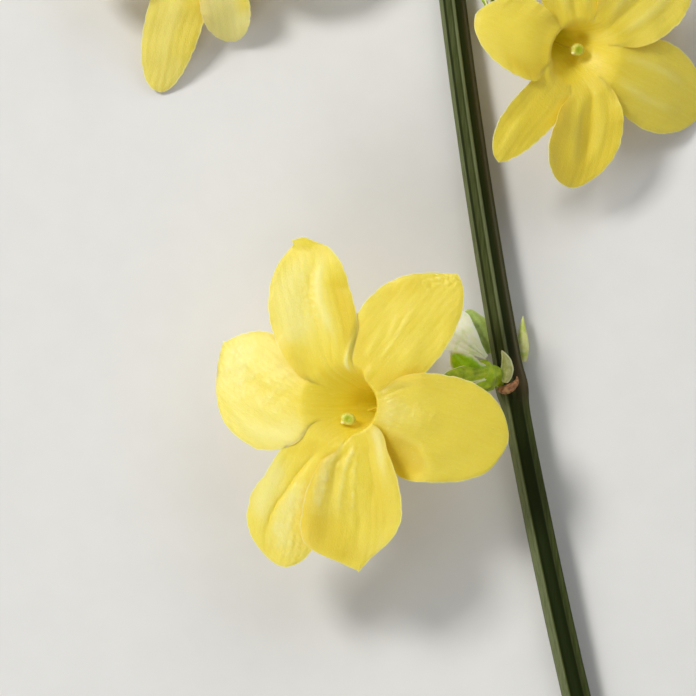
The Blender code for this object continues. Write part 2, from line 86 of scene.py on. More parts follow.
STYLE_RADIUS, STYLE_DROP, STIGMA_RADIUS = 0.07, 0.75, 0.58
CUP_RADIUS, CUP_WALL, CUP_FLOOR, CUP_DEPTH = 1.36, 0.24, 0.45, 1.30
STALK_RADIUS = 0.44
SEPAL_HALF_WIDTH, SEPAL_FOOT, SEPAL_WIDEST, SEPAL_TAPER = 0.86, 0.74, 0.40, 0.75
SEPAL_SHEET, SEPAL_SEAT, SEPAL_OPENING = 0.13, 0.91, 1.3
LEAF_SHEET, LEAF_BELLY = 0.14, 0.85

Side = namedtuple("Side", "half_width widest taper rise trim")
Fold = namedtuple("Fold", "kind line height width tint")
Lobe = namedtuple("Lobe", "foot tip reach left right lift curl cup hook tint folds")
Bloom = namedtuple("Bloom", "name seed columns throat facing lean lobes stalk_foot stalk_way base base_way stigma")
Sepal = namedtuple("Sepal", "around length flare")
Leaf = namedtuple("Leaf", "foot foot_way tip tip_way facing half_width cup foot_share belly blunt")

# A Side's trim lists how far the edge stands out from the rule at places along the lobe, in millimetres. A lobe's
# hook moves its very tip to the left. A Fold follows a line of places, each along the lobe from 0 to 1 and across it
# from -1, its right edge, to 1, its left edge. A ridge is round, a crease is a sharp valley, a bend turns the petal
# beyond it on its right, a flap turns it beyond its line towards the tip, and a crumple wrinkles a patch. The value
# after a lobe's hook, and a fold's last value, paint light and shade into the petal's colour, from -1, golden painted
# shade, to 1, cream painted highlight, and partly set its own pale and golden patches: lobes that face the light are
# painted paler and those that face away more golden, raised ridges and crumples mostly get painted highlights, and
# creases, bends, flaps and the places where a neighbouring lobe casts its shadow get painted shade. A ridge of height 0
# only paints.
CENTRE_LOBES = (
    Lobe(
        115, 105, 14.5,
        Side(4.0, 0.57, 0.76, 0.22, ((0.21, 0.10), (0.57, -0.06), (0.87, 0.22), (0.94, -0.05), (0.97, -0.15))),
        Side(3.6, 0.61, 0.74, 0.30, ((0.17, -0.30), (0.40, 0.16), (0.65, -0.21), (0.90, 0.28), (0.97, -0.20))),
        0, -0.8, 0.2, 0.85, 0.22,
        (
            Fold("crease", ((0.05, -0.02), (0.27, 0.03), (0.49, 0.01), (0.65, 0.02), (0.74, -0.08), (0.88, -0.34)),
                 -0.10, 0.10, -0.35),
            Fold("crease", ((0.14, -0.16), (0.28, -0.24), (0.44, -0.28)), -0.07, 0.09, -0.30),
            Fold("ridge", ((0.28, -0.30), (0.47, -0.25), (0.58, -0.19), (0.71, -0.26), (0.82, -0.47), (0.92, -0.64)),
                 0.07, 0.34, 0.55),
            Fold("ridge", ((0.30, 0.44), (0.46, 0.46), (0.70, 0.48), (0.82, 0.36), (0.95, 0.10)), 0.09, 1.7, 0.55),
            Fold("bend", ((0.14, -0.36), (0.33, -0.42), (0.50, -0.38), (0.66, -0.38), (0.84, -0.60)), -0.32, 0.8, -1.15),
            Fold("ridge", ((0.14, 0.60), (0.26, 0.68), (0.36, 0.80), (0.46, 0.88)), 0.0, 0.9, -0.60),
            Fold("ridge", ((0.06, -0.64), (0.16, -0.72), (0.28, -0.86), (0.38, -0.95)), 0.06, 0.17, 1.0),
            Fold("flap", ((0.93, -0.80), (0.91, -0.30), (0.95, 0.62)), 0.36, 1.0, -0.30),
            Fold("crumple", ((0.36, 0.10), (0.84, 0.06)), 0.028, 1.3, 0.30),
        ),
    ),
    Lobe(
        52, 50, 14.3,
        Side(4.5, 0.60, 1.10, -0.32, ((0.49, 0.04), (0.64, -0.13), (0.85, 0.05), (0.94, -0.10))),
        Side(3.6, 0.48, 0.65, -0.38, ((0.43, -0.03), (0.76, 0.09), (0.91, 0.19), (0.99, 0.05))),
        -5, -0.8, 0.3, 0.0, -0.38,
        (
            Fold("ridge", ((0.22, 0.05), (0.45, 0.08), (0.55, 0.14), (0.70, 0.20)), 0.10, 0.12, 0.80),
            Fold("ridge", ((0.34, 0.17), (0.46, 0.22), (0.60, 0.34)), 0.07, 0.24, 0.60),
            Fold("ridge", ((0.20, 0.44), (0.34, 0.41), (0.46, 0.38)), 0.06, 0.28, 0.60),
            Fold("ridge", ((0.24, -0.50), (0.47, -0.38), (0.59, -0.31), (0.78, -0.16)), 0.07, 0.75, 0.35),
            Fold("ridge", ((0.60, 0.70), (0.88, 0.60)), 0.0, 0.8, -0.35),
            Fold("ridge", ((0.08, 0.45), (0.20, 0.55), (0.42, 0.85)), 0.0, 0.9, -0.45),
            Fold("ridge", ((0.03, -0.60), (0.18, -0.75), (0.45, -0.95)), 0.0, 0.9, -0.75),
            Fold("ridge", ((0.02, 0.08), (0.11, 0.11), (0.22, 0.14)), 0.10, 0.35, 0.55),
            Fold("crumple", ((0.74, 0.50), (1.30, 0.30)), 0.05, 1.0, 1.0),
        ),
    ),
    Lobe(
        -5, -13, 13.8,
        Side(4.0, 0.64, 0.54, 0.42, ((0.35, 0.18), (0.60, 0.0), (0.91, 0.23), (0.98, -0.09))),
        Side(
            5.7, 0.58, 0.62, -0.50,
            ((0.18, -0.45), (0.30, -0.25), (0.50, 0.35), (0.69, -0.29), (0.83, -0.10), (0.95, 0.35), (0.99, -0.30)),
        ),
        -6, -1.4, 0.2, 0.0, -0.30,
        (
            Fold("bend", ((0.02, -0.60), (0.14, -0.52), (0.30, -0.36), (0.44, -0.38), (0.56, -0.58), (0.66, -0.85)),
                 -0.34, 1.2, -1.30),
            Fold("ridge", ((-0.20, 0.0), (0.15, -0.05), (0.56, -0.05)), 0.10, 2.1, 0.55),
            Fold("crease", ((0.04, 0.62), (0.10, 0.66), (0.31, 0.70), (0.42, 0.72)), -0.08, 0.30, -0.20),
            Fold("ridge", ((0.45, -0.80), (0.70, -0.70), (0.92, -0.40)), 0.0, 1.0, 0.20),
            Fold("crumple", ((0.06, 0.05), (0.62, 0.0)), 0.035, 1.7, 0.14),
        ),
    ),
    Lobe(
        -67, -86, 14.0,
        Side(2.9, 0.67, 1.30, 0.60, ((0.40, -0.10), (0.60, 0.02), (0.81, 0.30), (0.90, -0.28), (0.97, -0.07))),
        Side(5.8, 0.75, 1.30, 0.45, ((0.50, 0.12), (0.78, -0.17), (0.88, 0.55), (0.92, -0.40), (0.97, -0.12))),
        -4, -1.2, 0.1, 0.0, -0.14,
        (
            Fold("ridge", ((0.14, -0.90), (0.30, -0.84), (0.45, -0.80), (0.70, -0.78)), 0.08, 0.60, 0.68),
            Fold("crease", ((0.14, -0.72), (0.24, -0.68), (0.44, -0.62), (0.62, -0.62)), -0.14, 0.34, -0.55),
            Fold("ridge", ((0.08, -0.42), (0.18, -0.42), (0.32, -0.46), (0.50, -0.47), (0.68, -0.42)), 0.12, 0.26, 0.65),
            Fold("ridge", ((0.15, -0.22), (0.38, -0.26), (0.61, -0.26), (0.78, -0.14)), 0.08, 0.22, 0.45),
            Fold("crease", ((0.54, -0.18), (0.65, -0.13), (0.74, -0.12), (0.90, -0.12)), -0.14, 0.14, -0.35),
            Fold("crease", ((0.12, 0.14), (0.35, 0.20), (0.60, 0.24)), -0.12, 0.30, -0.25),
            Fold("ridge", ((0.03, 0.84), (0.12, 0.80), (0.22, 0.68), (0.38, 0.60), (0.54, 0.62)), 0.18, 0.54, 0.80),
            Fold("ridge", ((0.30, 0.34), (0.53, 0.36), (0.84, 0.30)), 0.0, 1.4, -0.50),
            Fold("ridge", ((0.54, -0.76), (0.72, -0.62), (0.84, -0.48), (1.0, -0.20)), -0.05, 1.9, -0.70),
            Fold("ridge", ((0.72, 0.70), (0.90, 0.50)), 0.0, 0.5, 0.35),
            Fold("crumple", ((0.10, -0.20), (0.70, -0.30)), 0.030, 1.3, 0.30),
            Fold("crumple", ((0.16, -0.78), (0.66, -0.78)), 0.040, 0.9, 0.25),
        ),
    ),
    Lobe(
        -126, -113, 14.6,
        Side(2.9, 0.71, 0.52, -0.55, ((0.34, -0.10), (0.60, 0.15), (0.90, -0.08), (0.97, -0.10))),
        Side(
            3.8, 0.83, 0.63, -0.22,
            ((0.25, -0.38), (0.40, 0.08), (0.57, -0.17), (0.71, 0.21), (0.88, -0.15), (0.98, -0.30)),
        ),
        -6, -1.4, 0.3, 0.0, 0.20,
        (
            Fold("crease", ((0.18, 0.16), (0.32, -0.12), (0.49, -0.26), (0.63, -0.37), (0.81, -0.44), (0.95, -0.55)),
                 -0.34, 0.16, -0.55),
            Fold("ridge", ((0.16, 0.05), (0.32, -0.20), (0.55, -0.38)), -0.06, 0.50, -0.45),
            Fold("ridge", ((0.38, -0.80), (0.55, -0.80), (0.68, -0.72), (0.86, -0.74)), 0.06, 1.0, 0.60),
            Fold("ridge", ((0.14, 0.0), (0.25, -0.45), (0.42, -0.98)), 0.0, 0.75, -0.80),
            Fold("ridge", ((0.40, 0.0), (0.59, -0.06), (0.78, -0.14), (0.95, 0.15)), 0.08, 0.95, 0.50),
            Fold("crease", ((0.30, 0.50), (0.55, 0.45), (0.80, 0.38)), -0.08, 0.30, -0.20),
            Fold("crumple", ((0.34, 0.20), (1.05, 0.0)), 0.040, 1.6, 0.28),
        ),
    ),
    Lobe(
        178, 153, 11.6,
        Side(6.4, 0.82, 1.05, 0.14, ((0.35, -0.18), (0.68, 0.43), (0.84, -0.22), (0.93, 0.50), (0.97, -0.10))),
        Side(3.5, 0.70, 1.30, -0.30, ((0.36, -0.23), (0.70, 0.20), (0.77, 0.0), (0.90, 0.14), (0.98, 0.05))),
        -10, -1.2, 0.2, 0.0, 0.44,
        (
            Fold("crease", ((0.10, 0.05), (0.40, 0.08), (0.75, 0.10)), -0.05, 0.60, -0.25),
            Fold("ridge", ((0.12, 0.70), (0.45, 0.78), (0.85, 0.70)), 0.05, 0.9, 0.30),
            Fold("ridge", ((0.70, 0.0), (0.96, 0.10)), 0.0, 2.0, 0.35),
            Fold("crumple", ((0.16, 0.10), (1.10, 0.10)), 0.032, 2.6, 0.20),
        ),
    ),
)
SOFT_FOLDS = (
    Fold("crease", ((0.05, 0.30), (0.45, 0.34), (0.80, 0.30)), -0.03, 0.45, -0.10),
    Fold("ridge", ((0.12, -0.10), (0.50, -0.14), (0.90, -0.10)), 0.03, 0.70, 0.10),
    Fold("ridge", ((0.12, 0.75), (0.45, 0.80), (0.78, 0.72)), 0.0, 0.9, -0.70),
)
PLAIN_FOLDS = (
    Fold("crease", ((0.05, 0.05), (0.40, 0.02), (0.85, 0.02)), -0.16, 0.25, -0.40),
    Fold("ridge", ((0.12, 0.36), (0.50, 0.34), (0.85, 0.28)), 0.12, 0.45, 0.40),
    Fold("ridge", ((0.12, -0.40), (0.50, -0.38), (0.85, -0.30)), 0.12, 0.45, 0.40),
)
RIGHT_LOBES = (
    Lobe(165, 162, 9.9, Side(3.8, 0.49, 0.46, 0.50, ()),
         Side(2.5, 0.67, 0.60, 0.50, ((0.3, 0.2), (0.7, 0.6), (0.9, 0.3))), 4, -1.8, 0.5, 0.0, -0.35, SOFT_FOLDS),
    Lobe(102, 100, 13.0, Side(3.6, 0.60, 0.70, -0.50, ()), Side(3.9, 0.62, 0.70, -0.50, ()), 4, -1.4, 0.4, 0.0, 0.0,
         PLAIN_FOLDS),
    Lobe(42, 40, 13.4, Side(4.1, 0.62, 0.66, 0.50, ()), Side(3.8, 0.60, 0.70, 0.50, ()), 0, -1.6, 0.3, 0.0, 0.0,
         PLAIN_FOLDS),
    Lobe(-16, -22, 13.2, Side(3.9, 0.60, 0.66, -0.50, ()), Side(3.9, 0.62, 0.66, -0.50, ()), 0, -1.4, 0.4, 0.0, 0.0,
         PLAIN_FOLDS),
    Lobe(-72, -88, 11.4, Side(3.0, 0.60, 0.62, 0.50, ()), Side(4.0, 0.66, 0.67, 0.50, ()), 2, -1.4, 0.4, 0.0, -0.75,
         PLAIN_FOLDS),
    Lobe(
        -133, -127, 11.5, Side(2.1, 0.39, 0.71, -0.50, ()), Side(2.4, 0.65, 0.47, -0.50, ()), 4, -1.2, 0.6, 0.0, -0.60,
        (
            Fold("crease", ((0.05, 0.0), (0.85, 0.0)), -0.06, 0.30, -0.2),
            Fold("ridge", ((0.60, -0.30), (0.80, -0.28), (1.0, -0.20)), 0.07, 0.35, 0.5),
        ),
    ),
)
LEFT_LOBES = (
    Lobe(-112, -105, 14.5, Side(2.4, 0.43, 0.55, -0.50, ()), Side(2.6, 0.44, 0.39, -0.50, ()), 0, -0.7, 0.4, 0.0, 0.3,
         SOFT_FOLDS),
    Lobe(-64, -75, 10.1, Side(1.9, 0.51, 0.55, 0.50, ()), Side(2.4, 0.57, 0.55, 0.50, ()), 0, -1.8, 0.2, 0.0, 0.9,
         SOFT_FOLDS),
    Lobe(-4, -6, 12.6, Side(3.9, 0.62, 0.66, -0.50, ()), Side(3.8, 0.60, 0.66, -0.50, ()), 6, -1.4, 0.4, 0.0, 0.0,
         PLAIN_FOLDS),
    Lobe(58, 58, 13.4, Side(3.9, 0.60, 0.70, 0.50, ()), Side(3.9, 0.62, 0.70, 0.50, ()), 4, -1.6, 0.3, 0.0, 0.0,
         PLAIN_FOLDS),
    Lobe(118, 118, 13.2, Side(3.8, 0.62, 0.66, -0.50, ()), Side(3.9, 0.60, 0.66, -0.50, ()), 4, -1.4, 0.4, 0.0, 0.0,
         PLAIN_FOLDS),
    Lobe(182, 184, 11.9, Side(4.0, 0.62, 0.60, 0.50, ()), Side(3.8, 0.62, 0.60, 0.50, ()), 8, -1.0, 0.4, 0.0, 0.0,
         PLAIN_FOLDS),
)

# Each sepal stands at an angle round the calyx, from the side that faces the viewer, and opens out by its flare.
WIDE_SEPAL = 1
SEPAL_RING = (
    Sepal(24, 4.2, 1.30),
    Sepal(58, 3.1, 2.20),
    Sepal(138, 1.9, 0.40),
    Sepal(195, 3.1, 0.90),
    Sepal(255, 3.2, 1.00),
    Sepal(320, 3.4, 1.00),
)


def smooth_step(value, low, high):
    """0 below low, 1 above high, and a smooth rise between them."""
    share = np.clip((value - low) / (high - low), 0.0, 1.0)
    return share * share * (3.0 - 2.0 * share)


def wave(values, seed, octaves=4):
    """A smooth random curve through -1 to 1 whose slowest swing is about one unit long."""
    draws = np.random.default_rng(seed)
    total = np.zeros_like(values, dtype=float)
    for octave in range(octaves):
        pace = 2.0**octave * draws.uniform(0.8, 1.25)
        total += np.sin(2 * math.pi * (values * pace + draws.uniform())) / 2.0**octave
    return total / 1.9


def swell(along, across, seed):
    """A smooth random surface through about -1 to 1 whose hills are about one unit wide."""
    draws = np.random.default_rng(seed)
    total = np.zeros(np.broadcast(along, across).shape)
    for _ in range(9):
        pace = draws.uniform(0.35, 1.3)
        heading = draws.uniform(0, 2 * math.pi)
        phase = draws.uniform(0, 2 * math.pi)
        total += np.sin(2 * math.pi * pace * (along * math.cos(heading) + across * math.sin(heading)) + phase)
    return total / 4.0


def stem_radius(y):
    share = (y - STEM_LOW) / (STEM_HIGH - STEM_LOW)
    return STEM_RADIUS_LOW + (STEM_RADIUS_HIGH - STEM_RADIUS_LOW) * share


def node_radius(y):
    swelling = sum(math.exp(-(((y - node) / NODE_LENGTH) ** 2)) for node in (NODE_Y, UPPER_NODE_Y))
    return stem_radius(y) * (1.0 + NODE_SWELLING * swelling)


def stem_axis(y):
    middle, half = (STEM_HIGH + STEM_LOW) / 2, (STEM_HIGH - STEM_LOW) / 2
    arch = STEM_ARCH * (1.0 - ((y - middle) / half) ** 2)
    return Vector((STEM_X + STEM_LEAN * y + STEM_BOW * y * y, y, stem_radius(y) + arch))


def out_of_stem(y, around):
    """The way straight out of the stem. around is in degrees from its right, over the top."""
    step = 0.01
    way = (stem_axis(y + step) - stem_axis(y - step)).normalized()
    right = way.cross(UP).normalized()
    angle = math.radians(around)
    return right * math.cos(angle) + right.cross(way) * math.sin(angle)


def on_stem(y, around, out=CLEARANCE):
    return stem_axis(y) + out_of_stem(y, around) * (node_radius(y) + out)


def curve_points(start, start_way, end, end_way, count):
    """Points along a cubic curve from start to end, leaving and arriving along the given ways."""
    pull = (end - start).length * CURVE_PULL
    handles = (start, start + start_way.normalized() * pull, end - end_way.normalized() * pull, end)
    points = []
    for index in range(count):
        t = index / (count - 1)
        weights = ((1 - t) ** 3, 3 * t * (1 - t) ** 2, 3 * t * t * (1 - t), t**3)
        points.append(sum((handle * weight for handle, weight in zip(handles, weights)), Vector()))
    return points


def frame_at(origin, facing):
    """A frame at origin whose Z is the way it faces and whose Y leans to the layout's Y."""
    z = facing.normalized()
    x = Vector((0.0, 1.0, 0.0)).cross(z).normalized()
    return Matrix.Translation(origin) @ Matrix((x, z.cross(x), z)).transposed().to_4x4()


def tangents_of(points):
    ways = [(b - a).normalized() for a, b in zip(points, points[1:])]
    return [ways[0]] + [(a + b).normalized() for a, b in zip(ways, ways[1:])] + [ways[-1]]


def frames_along(points, first=None):
    """A right and an up vector square to the path at each point, carried along it without twist."""
    tangents = tangents_of(points)
    right = first or tangents[0].cross(UP).normalized()
    frames = []
    for before, tangent in zip([tangents[0]] + tangents, tangents):
        right = before.rotation_difference(tangent) @ right
        right = (right - tangent * right.dot(tangent)).normalized()
        frames.append((right, right.cross(tangent)))
    return frames


def sweep(points, radii):
    """Rings round a path, as an array of rings by sides by 3. radii is an array of rings by sides."""
    sides = radii.shape[1]
    angles = 2 * math.pi * np.arange(sides) / sides
    rings = []
    for point, (right, up), reach in zip(points, frames_along(points), radii):
        spokes = np.outer(np.cos(angles), right) + np.outer(np.sin(angles), up)
        rings.append(np.array(point) + spokes * reach[:, None])
    return np.array(rings)


def place_object(name, points, faces, material_list, nodes, attributes=None, face_slots=None, sharp=40.0):
    """A piece made of a list of points, in millimetres in the layout, that stands for the given nodes."""
    mesh = bpy.data.meshes.new(name)
    origin = np.array(LAYOUT_CENTRE)
    mesh.from_pydata(((np.asarray(points) + origin) * MM).tolist(), [], faces)
    for finish in material_list:
        mesh.materials.append(finish)
    for key, values in (attributes or {}).items():
        layer = mesh.attributes.new(key, "FLOAT_VECTOR", "POINT")
        layer.data.foreach_set("vector", np.asarray(values, dtype=np.float32).ravel())
    if face_slots is not None:
        mesh.polygons.foreach_set("material_index", np.asarray(face_slots, dtype=np.int32))
    mesh.shade_smooth()
    mesh.set_sharp_from_angle(angle=math.radians(sharp))
    mesh.update()
    piece = bpy.data.objects.new(name, mesh)
    bpy.context.scene.collection.objects.link(piece)
    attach(piece, "root")
    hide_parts(*nodes)
    return piece


class Shape:
    """Points, faces and the values that materials read, gathered for one piece."""

    def __init__(self):
        self.points = []
        self.faces = []
        self.place = []
        self.tone = []
        self.slots = []
        self.count = 0

    def add(self, points, faces, place, tone, slot=0):
        """Adds a closed body. place and tone are arrays of one vector for each point."""
        points = np.asarray(points).reshape(-1, 3)
        self.points.append(points)
        self.place.append(np.broadcast_to(np.asarray(place), points.shape))
        self.tone.append(np.broadcast_to(np.asarray(tone), points.shape))
        self.faces += [tuple(index + self.count for index in face) for face in faces]
        self.slots += [slot] * len(faces)
        self.count += len(points)

    def make(self, name, materials, nodes, sharp=40.0):
        values = {"place": np.concatenate(self.place), "tone": np.concatenate(self.tone)}
        points = np.concatenate(self.points)
        return place_object(name, points, self.faces, materials, nodes, values, self.slots, sharp)


def ring_faces(rings, sides, start=0):
    """Faces between rings of points that follow one another, turned out."""
    faces = []
    for row in range(rings - 1):
        for side in range(sides):
            a = start + row * sides + side
            b = start + row * sides + (side + 1) % sides
            faces.append((a, a + sides, b + sides, b))
    return faces


def sheet_body(rows, thickness):
    """Points and faces of a thin closed body whose middle surface is the array rows, and how far each point is in."""
    count, width = rows.shape[:2]
    along = np.gradient(rows, axis=0)
    across = np.gradient(rows, axis=1)
    normal = np.cross(across, along)
    normal /= np.maximum(np.linalg.norm(normal, axis=2, keepdims=True), 1e-9)
    half = (np.broadcast_to(thickness, (count, width)) / 2)[..., None]
    points = np.concatenate([(rows + normal * half).reshape(-1, 3), (rows - normal * half).reshape(-1, 3)])
    under = count * width
    faces = []
    for i in range(count - 1):
        for j in range(width - 1):
            a, b, c, d = i * width + j, i * width + j + 1, (i + 1) * width + j + 1, (i + 1) * width + j
            faces.append((a, b, c, d))
            faces.append((d + under, c + under, b + under, a + under))
    border = list(range(width))
    border += [i * width + width - 1 for i in range(1, count)]
    border += [(count - 1) * width + j for j in range(width - 2, -1, -1)]
    border += [i * width for i in range(count - 2, 0, -1)]
    for a, b in zip(border, border[1:] + border[:1]):
        faces.append((a, a + under, b + under, b))
    return points, faces


def smooth_line(places, knots):
    """A line through the knots with its corners rounded."""
    along, values = [knot[0] for knot in knots], [knot[1] for knot in knots]
    return sum(np.interp(places + step, along, values) for step in (-0.02, -0.01, 0.0, 0.01, 0.02)) / 5


def half_widths(side, t, seed):
    """Half widths of a lobe at t, from 0 at its foot in the funnel to 1 at its tip, with the trim of its edge."""
    foot = LOBE_FOOT_HALF_WIDTH / side.half_width
    rising = foot + (1 - foot) * np.sin(math.pi / 2 * np.clip(t / side.widest, 0, 1))
    falling = np.clip(1 - ((t - side.widest) / (1 - side.widest)) ** 2, 0, 1) ** side.taper
    widths = np.where(t < side.widest, rising, falling) * side.half_width
    widths += smooth_line(t, ((0.0, 0.0),) + side.trim + ((1.0, 0.0),))
    frill = smooth_step(t, 0.30, 0.60) * (1 - smooth_step(t, 0.97, 1.0))
    widths += 0.05 * wave(t * 9.0, seed, 6) * frill
    return np.maximum(widths, TIP_HALF_WIDTH)


def fold_shape(fold, t, across, offsets, reach, seed):
    """How far a fold lifts the petal at each point, and the light and shade it paints into the petal's colour."""
    places, sides = [place for place, _side in fold.line], [side for _place, side in fold.line]
    start, end = min(places), max(places)
    if fold.kind == "flap":
        beyond = np.clip(t - np.interp(across, sides, places), 0, None) * reach
        return fold.height * (np.sqrt(beyond**2 + 0.01) - 0.1), fold.tint * smooth_step(beyond, 0.0, 0.4)
    line = smooth_line(t, fold.line)
    distance = offsets - np.where(line > 0, line * offsets[:, -1:], -line * offsets[:, :1])
    fade = 0.3 * (end - start)
    ends = smooth_step(t, start, start + fade) * (1 - smooth_step(t, end - fade, end))
    if fold.kind == "crumple":
        along = t * reach
        rough = swell(along / 0.7, offsets / 0.55, seed) + 0.8 * swell(along / 0.35, offsets / 0.25, seed + 1)
        rough = rough * ends * np.exp(-((distance / fold.width) ** 2))
        return fold.height * rough, fold.tint * np.clip(rough, 0, 1)
    if fold.kind == "ridge":
        profile = np.exp(-((distance / fold.width) ** 2)) * ends
        return fold.height * profile, fold.tint * profile
    if fold.kind == "crease":
        profile = np.exp(-np.sqrt(distance**2 + 0.002) / fold.width) * ends
        return fold.height * profile, fold.tint * profile
    beyond = np.sqrt(np.clip(-distance, 0, None) ** 2 + 0.01) - 0.1
    return fold.height * beyond * ends, fold.tint * smooth_step(beyond, 0.0, 0.9 * fold.width) * ends


def spread_columns(count):
    """Places across a lobe from -1 to 1, closer together near its edges."""
    even = np.linspace(-1.0, 1.0, count + 1)
    return 0.6 * even + 0.4 * np.sin(math.pi / 2 * even)


def funnel_depth(bloom, radius, angle):
    """How deep the funnel lies at each point. It drops from a firm rim on the side it leans to, and slopes gently on
    the other."""
    ahead = np.cos(angle - math.atan2(bloom.lean.y, bloom.lean.x) + math.radians(RIM_TURN))
    steep = smooth_step(ahead, -0.15, 0.55) * min(bloom.lean.length * 1.6, 1.0)
    flat = FUNNEL_FLAT - (FUNNEL_FLAT - THROAT_RIM) * steep
    return FUNNEL_DEPTH * np.clip((flat - radius) / (flat - FUNNEL_FOOT), 0, None) ** (1.9 - 0.9 * steep)


def limb_of(bloom, index, lobes):
    """The middle surface of one lobe and its part of the funnel in the bloom's frame, and its material values."""
    lobe = lobes[index]
    seed = bloom.seed * 100 + index * 10
    before, after = lobes[index - 1], lobes[(index + 1) % len(lobes)]
    right_sector = ((lobe.foot - before.foot) % 360) / 2
    left_sector = ((after.foot - lobe.foot) % 360) / 2
    share = np.linspace(0, 1, LOBE_ROWS + 1)[1:]
    funnel = np.linspace(FUNNEL_FOOT, SPLIT, FUNNEL_ROWS + 1)
    limb = SPLIT + (lobe.reach - SPLIT) * (0.45 * share + 0.55 * np.sin(math.pi / 2 * share))
    radius = np.concatenate([funnel, limb])[:, None]
    across = spread_columns(bloom.columns)[None, :]
    t = (radius - FUNNEL_FOOT) / (lobe.reach - FUNNEL_FOOT)
    hook = lobe.hook * smooth_step(t, 0.88, 1.0)
    left = np.maximum(half_widths(lobe.left, t, seed + 1) - hook, TIP_HALF_WIDTH)
    right = half_widths(lobe.right, t, seed + 2) + hook
    free = smooth_step(radius, SPLIT, SPLIT + PARTING)
    own = across * np.where(across > 0, left, right) / radius
    shared = across * np.radians(np.where(across > 0, left_sector, right_sector))
    turn = shared * (1 - free) + own * free
    offsets = turn * radius
    angle = np.radians(lobe.foot + (lobe.tip - lobe.foot) * t * free) + hook / radius + turn
    depth = funnel_depth(bloom, radius, angle)
    beyond = np.clip(radius - FUNNEL_FLAT, 0, None)
    height = -depth + math.tan(math.radians(lobe.lift)) * beyond
    height = height + lobe.curl * (beyond / (lobe.reach - FUNNEL_FLAT)) ** 2
    side = np.where(across > 0, left / lobe.left.half_width, right / lobe.right.half_width)
    widest = np.where(across > 0, lobe.left.widest, lobe.right.widest)
    narrowing = np.where(t < widest, 1.0, np.clip(side, 0, 1) ** 1.4)
    height = height + lobe.cup * across**2 * smooth_step(t, 0.10, 0.50) * free * narrowing
    rise = np.where(across > 0, lobe.left.rise, lobe.right.rise)
    height = height + rise * np.abs(across) ** 1.5 * smooth_step(radius, SPLIT, SPLIT + OVERLAP_OPENING) * narrowing
    inside = 1 - across**6
    # Painted light and shade in the petal's colour, partly its own pale and golden patches: the lobe's share grows
    # outwards, and each fold adds its own below.
    tint = lobe.tint * smooth_step(radius, 2.5, 6.0) + 0.0 * offsets
    for number, fold in enumerate(lobe.folds):
        lift, fold_tint_and_painted_light = fold_shape(fold, t, across, offsets, lobe.reach, seed + 3 + number)
        folded = (inside if fold.kind == "crease" else 1.0) * smooth_step(radius, 2.0, 3.6)
        height = height + lift * folded
        tint = tint + fold_tint_and_painted_light * folded
    rest = smooth_step(t, 0.15, 0.45)
    height = height + 0.08 * swell(radius / 4.2, offsets / 3.0, seed + 8) * rest
    height = height + 0.012 * swell(radius / 1.7, offsets / 1.0, seed + 7) * rest
    height = height + 0.07 * np.abs(across) ** 5 * wave(t * 5.0 + (across > 0) * 3.7, seed + 9) * rest * narrowing
    veins = np.cos(2 * math.pi * offsets / 0.62 + 0.8 * np.sin(radius * 0.9))
    height = height + 0.009 * veins * rest * (1 - np.abs(across) ** 4)
    x = radius * np.cos(angle) + depth * bloom.lean.x
    y = radius * np.sin(angle) + depth * bloom.lean.y
    points = np.stack(np.broadcast_arrays(x, y, height), axis=-1)
    sides = np.where(across > 0, left, right) * (1 - np.abs(across))
    rim = np.minimum(sides, (lobe.reach - radius) + 0.0 * across)
    rim = np.where(free > 0, rim, 9.0)
    place = np.stack(np.broadcast_arrays(offsets, radius, float(index) * 7.0 + bloom.seed), axis=-1)
    tone = np.stack(np.broadcast_arrays(rim, radius, tint), axis=-1)
    return points, place, tone


def tube_path(bloom, count):
    """Points from the tube's foot, in the calyx, to the foot of the funnel."""
    at = frame_at(bloom.throat, bloom.facing)
    foot = bloom.base + bloom.base_way.normalized() * (CUP_FLOOR + CLEARANCE)
    sunk = Vector((bloom.lean.x, bloom.lean.y, -1.0))
    return curve_points(foot, bloom.base_way, at @ (sunk * FUNNEL_DEPTH), at.to_3x3() @ -sunk, count)


def tube_rings(bloom, angles):
    """The middle surface of the tube, from its foot up, its rings in line with the funnel's."""
    at = frame_at(bloom.throat, bloom.facing)
    flat_right, flat_up = at.to_3x3() @ Vector((1.0, 0.0, 0.0)), at.to_3x3() @ Vector((0.0, 1.0, 0.0))
    path = tube_path(bloom, TUBE_ROWS + 1)[::-1]
    rings = []
    for index, (point, (right, up)) in enumerate(zip(path, frames_along(path, flat_right))):
        share = 1 - index / TUBE_ROWS
        radius = TUBE_FOOT_RADIUS + (FUNNEL_FOOT - TUBE_FOOT_RADIUS) * share**TUBE_FLARE
        level = float(smooth_step(share, 0.7, 1.0))
        across, along = right.lerp(flat_right, level), up.lerp(flat_up, level)
        flute = 1 + 0.02 * np.cos(6 * angles)
        spokes = np.outer(np.cos(angles), across) + np.outer(np.sin(angles), along)
        rings.append(np.array(point) + spokes * radius * flute[:, None])
    return np.array(rings[::-1])[:-1]


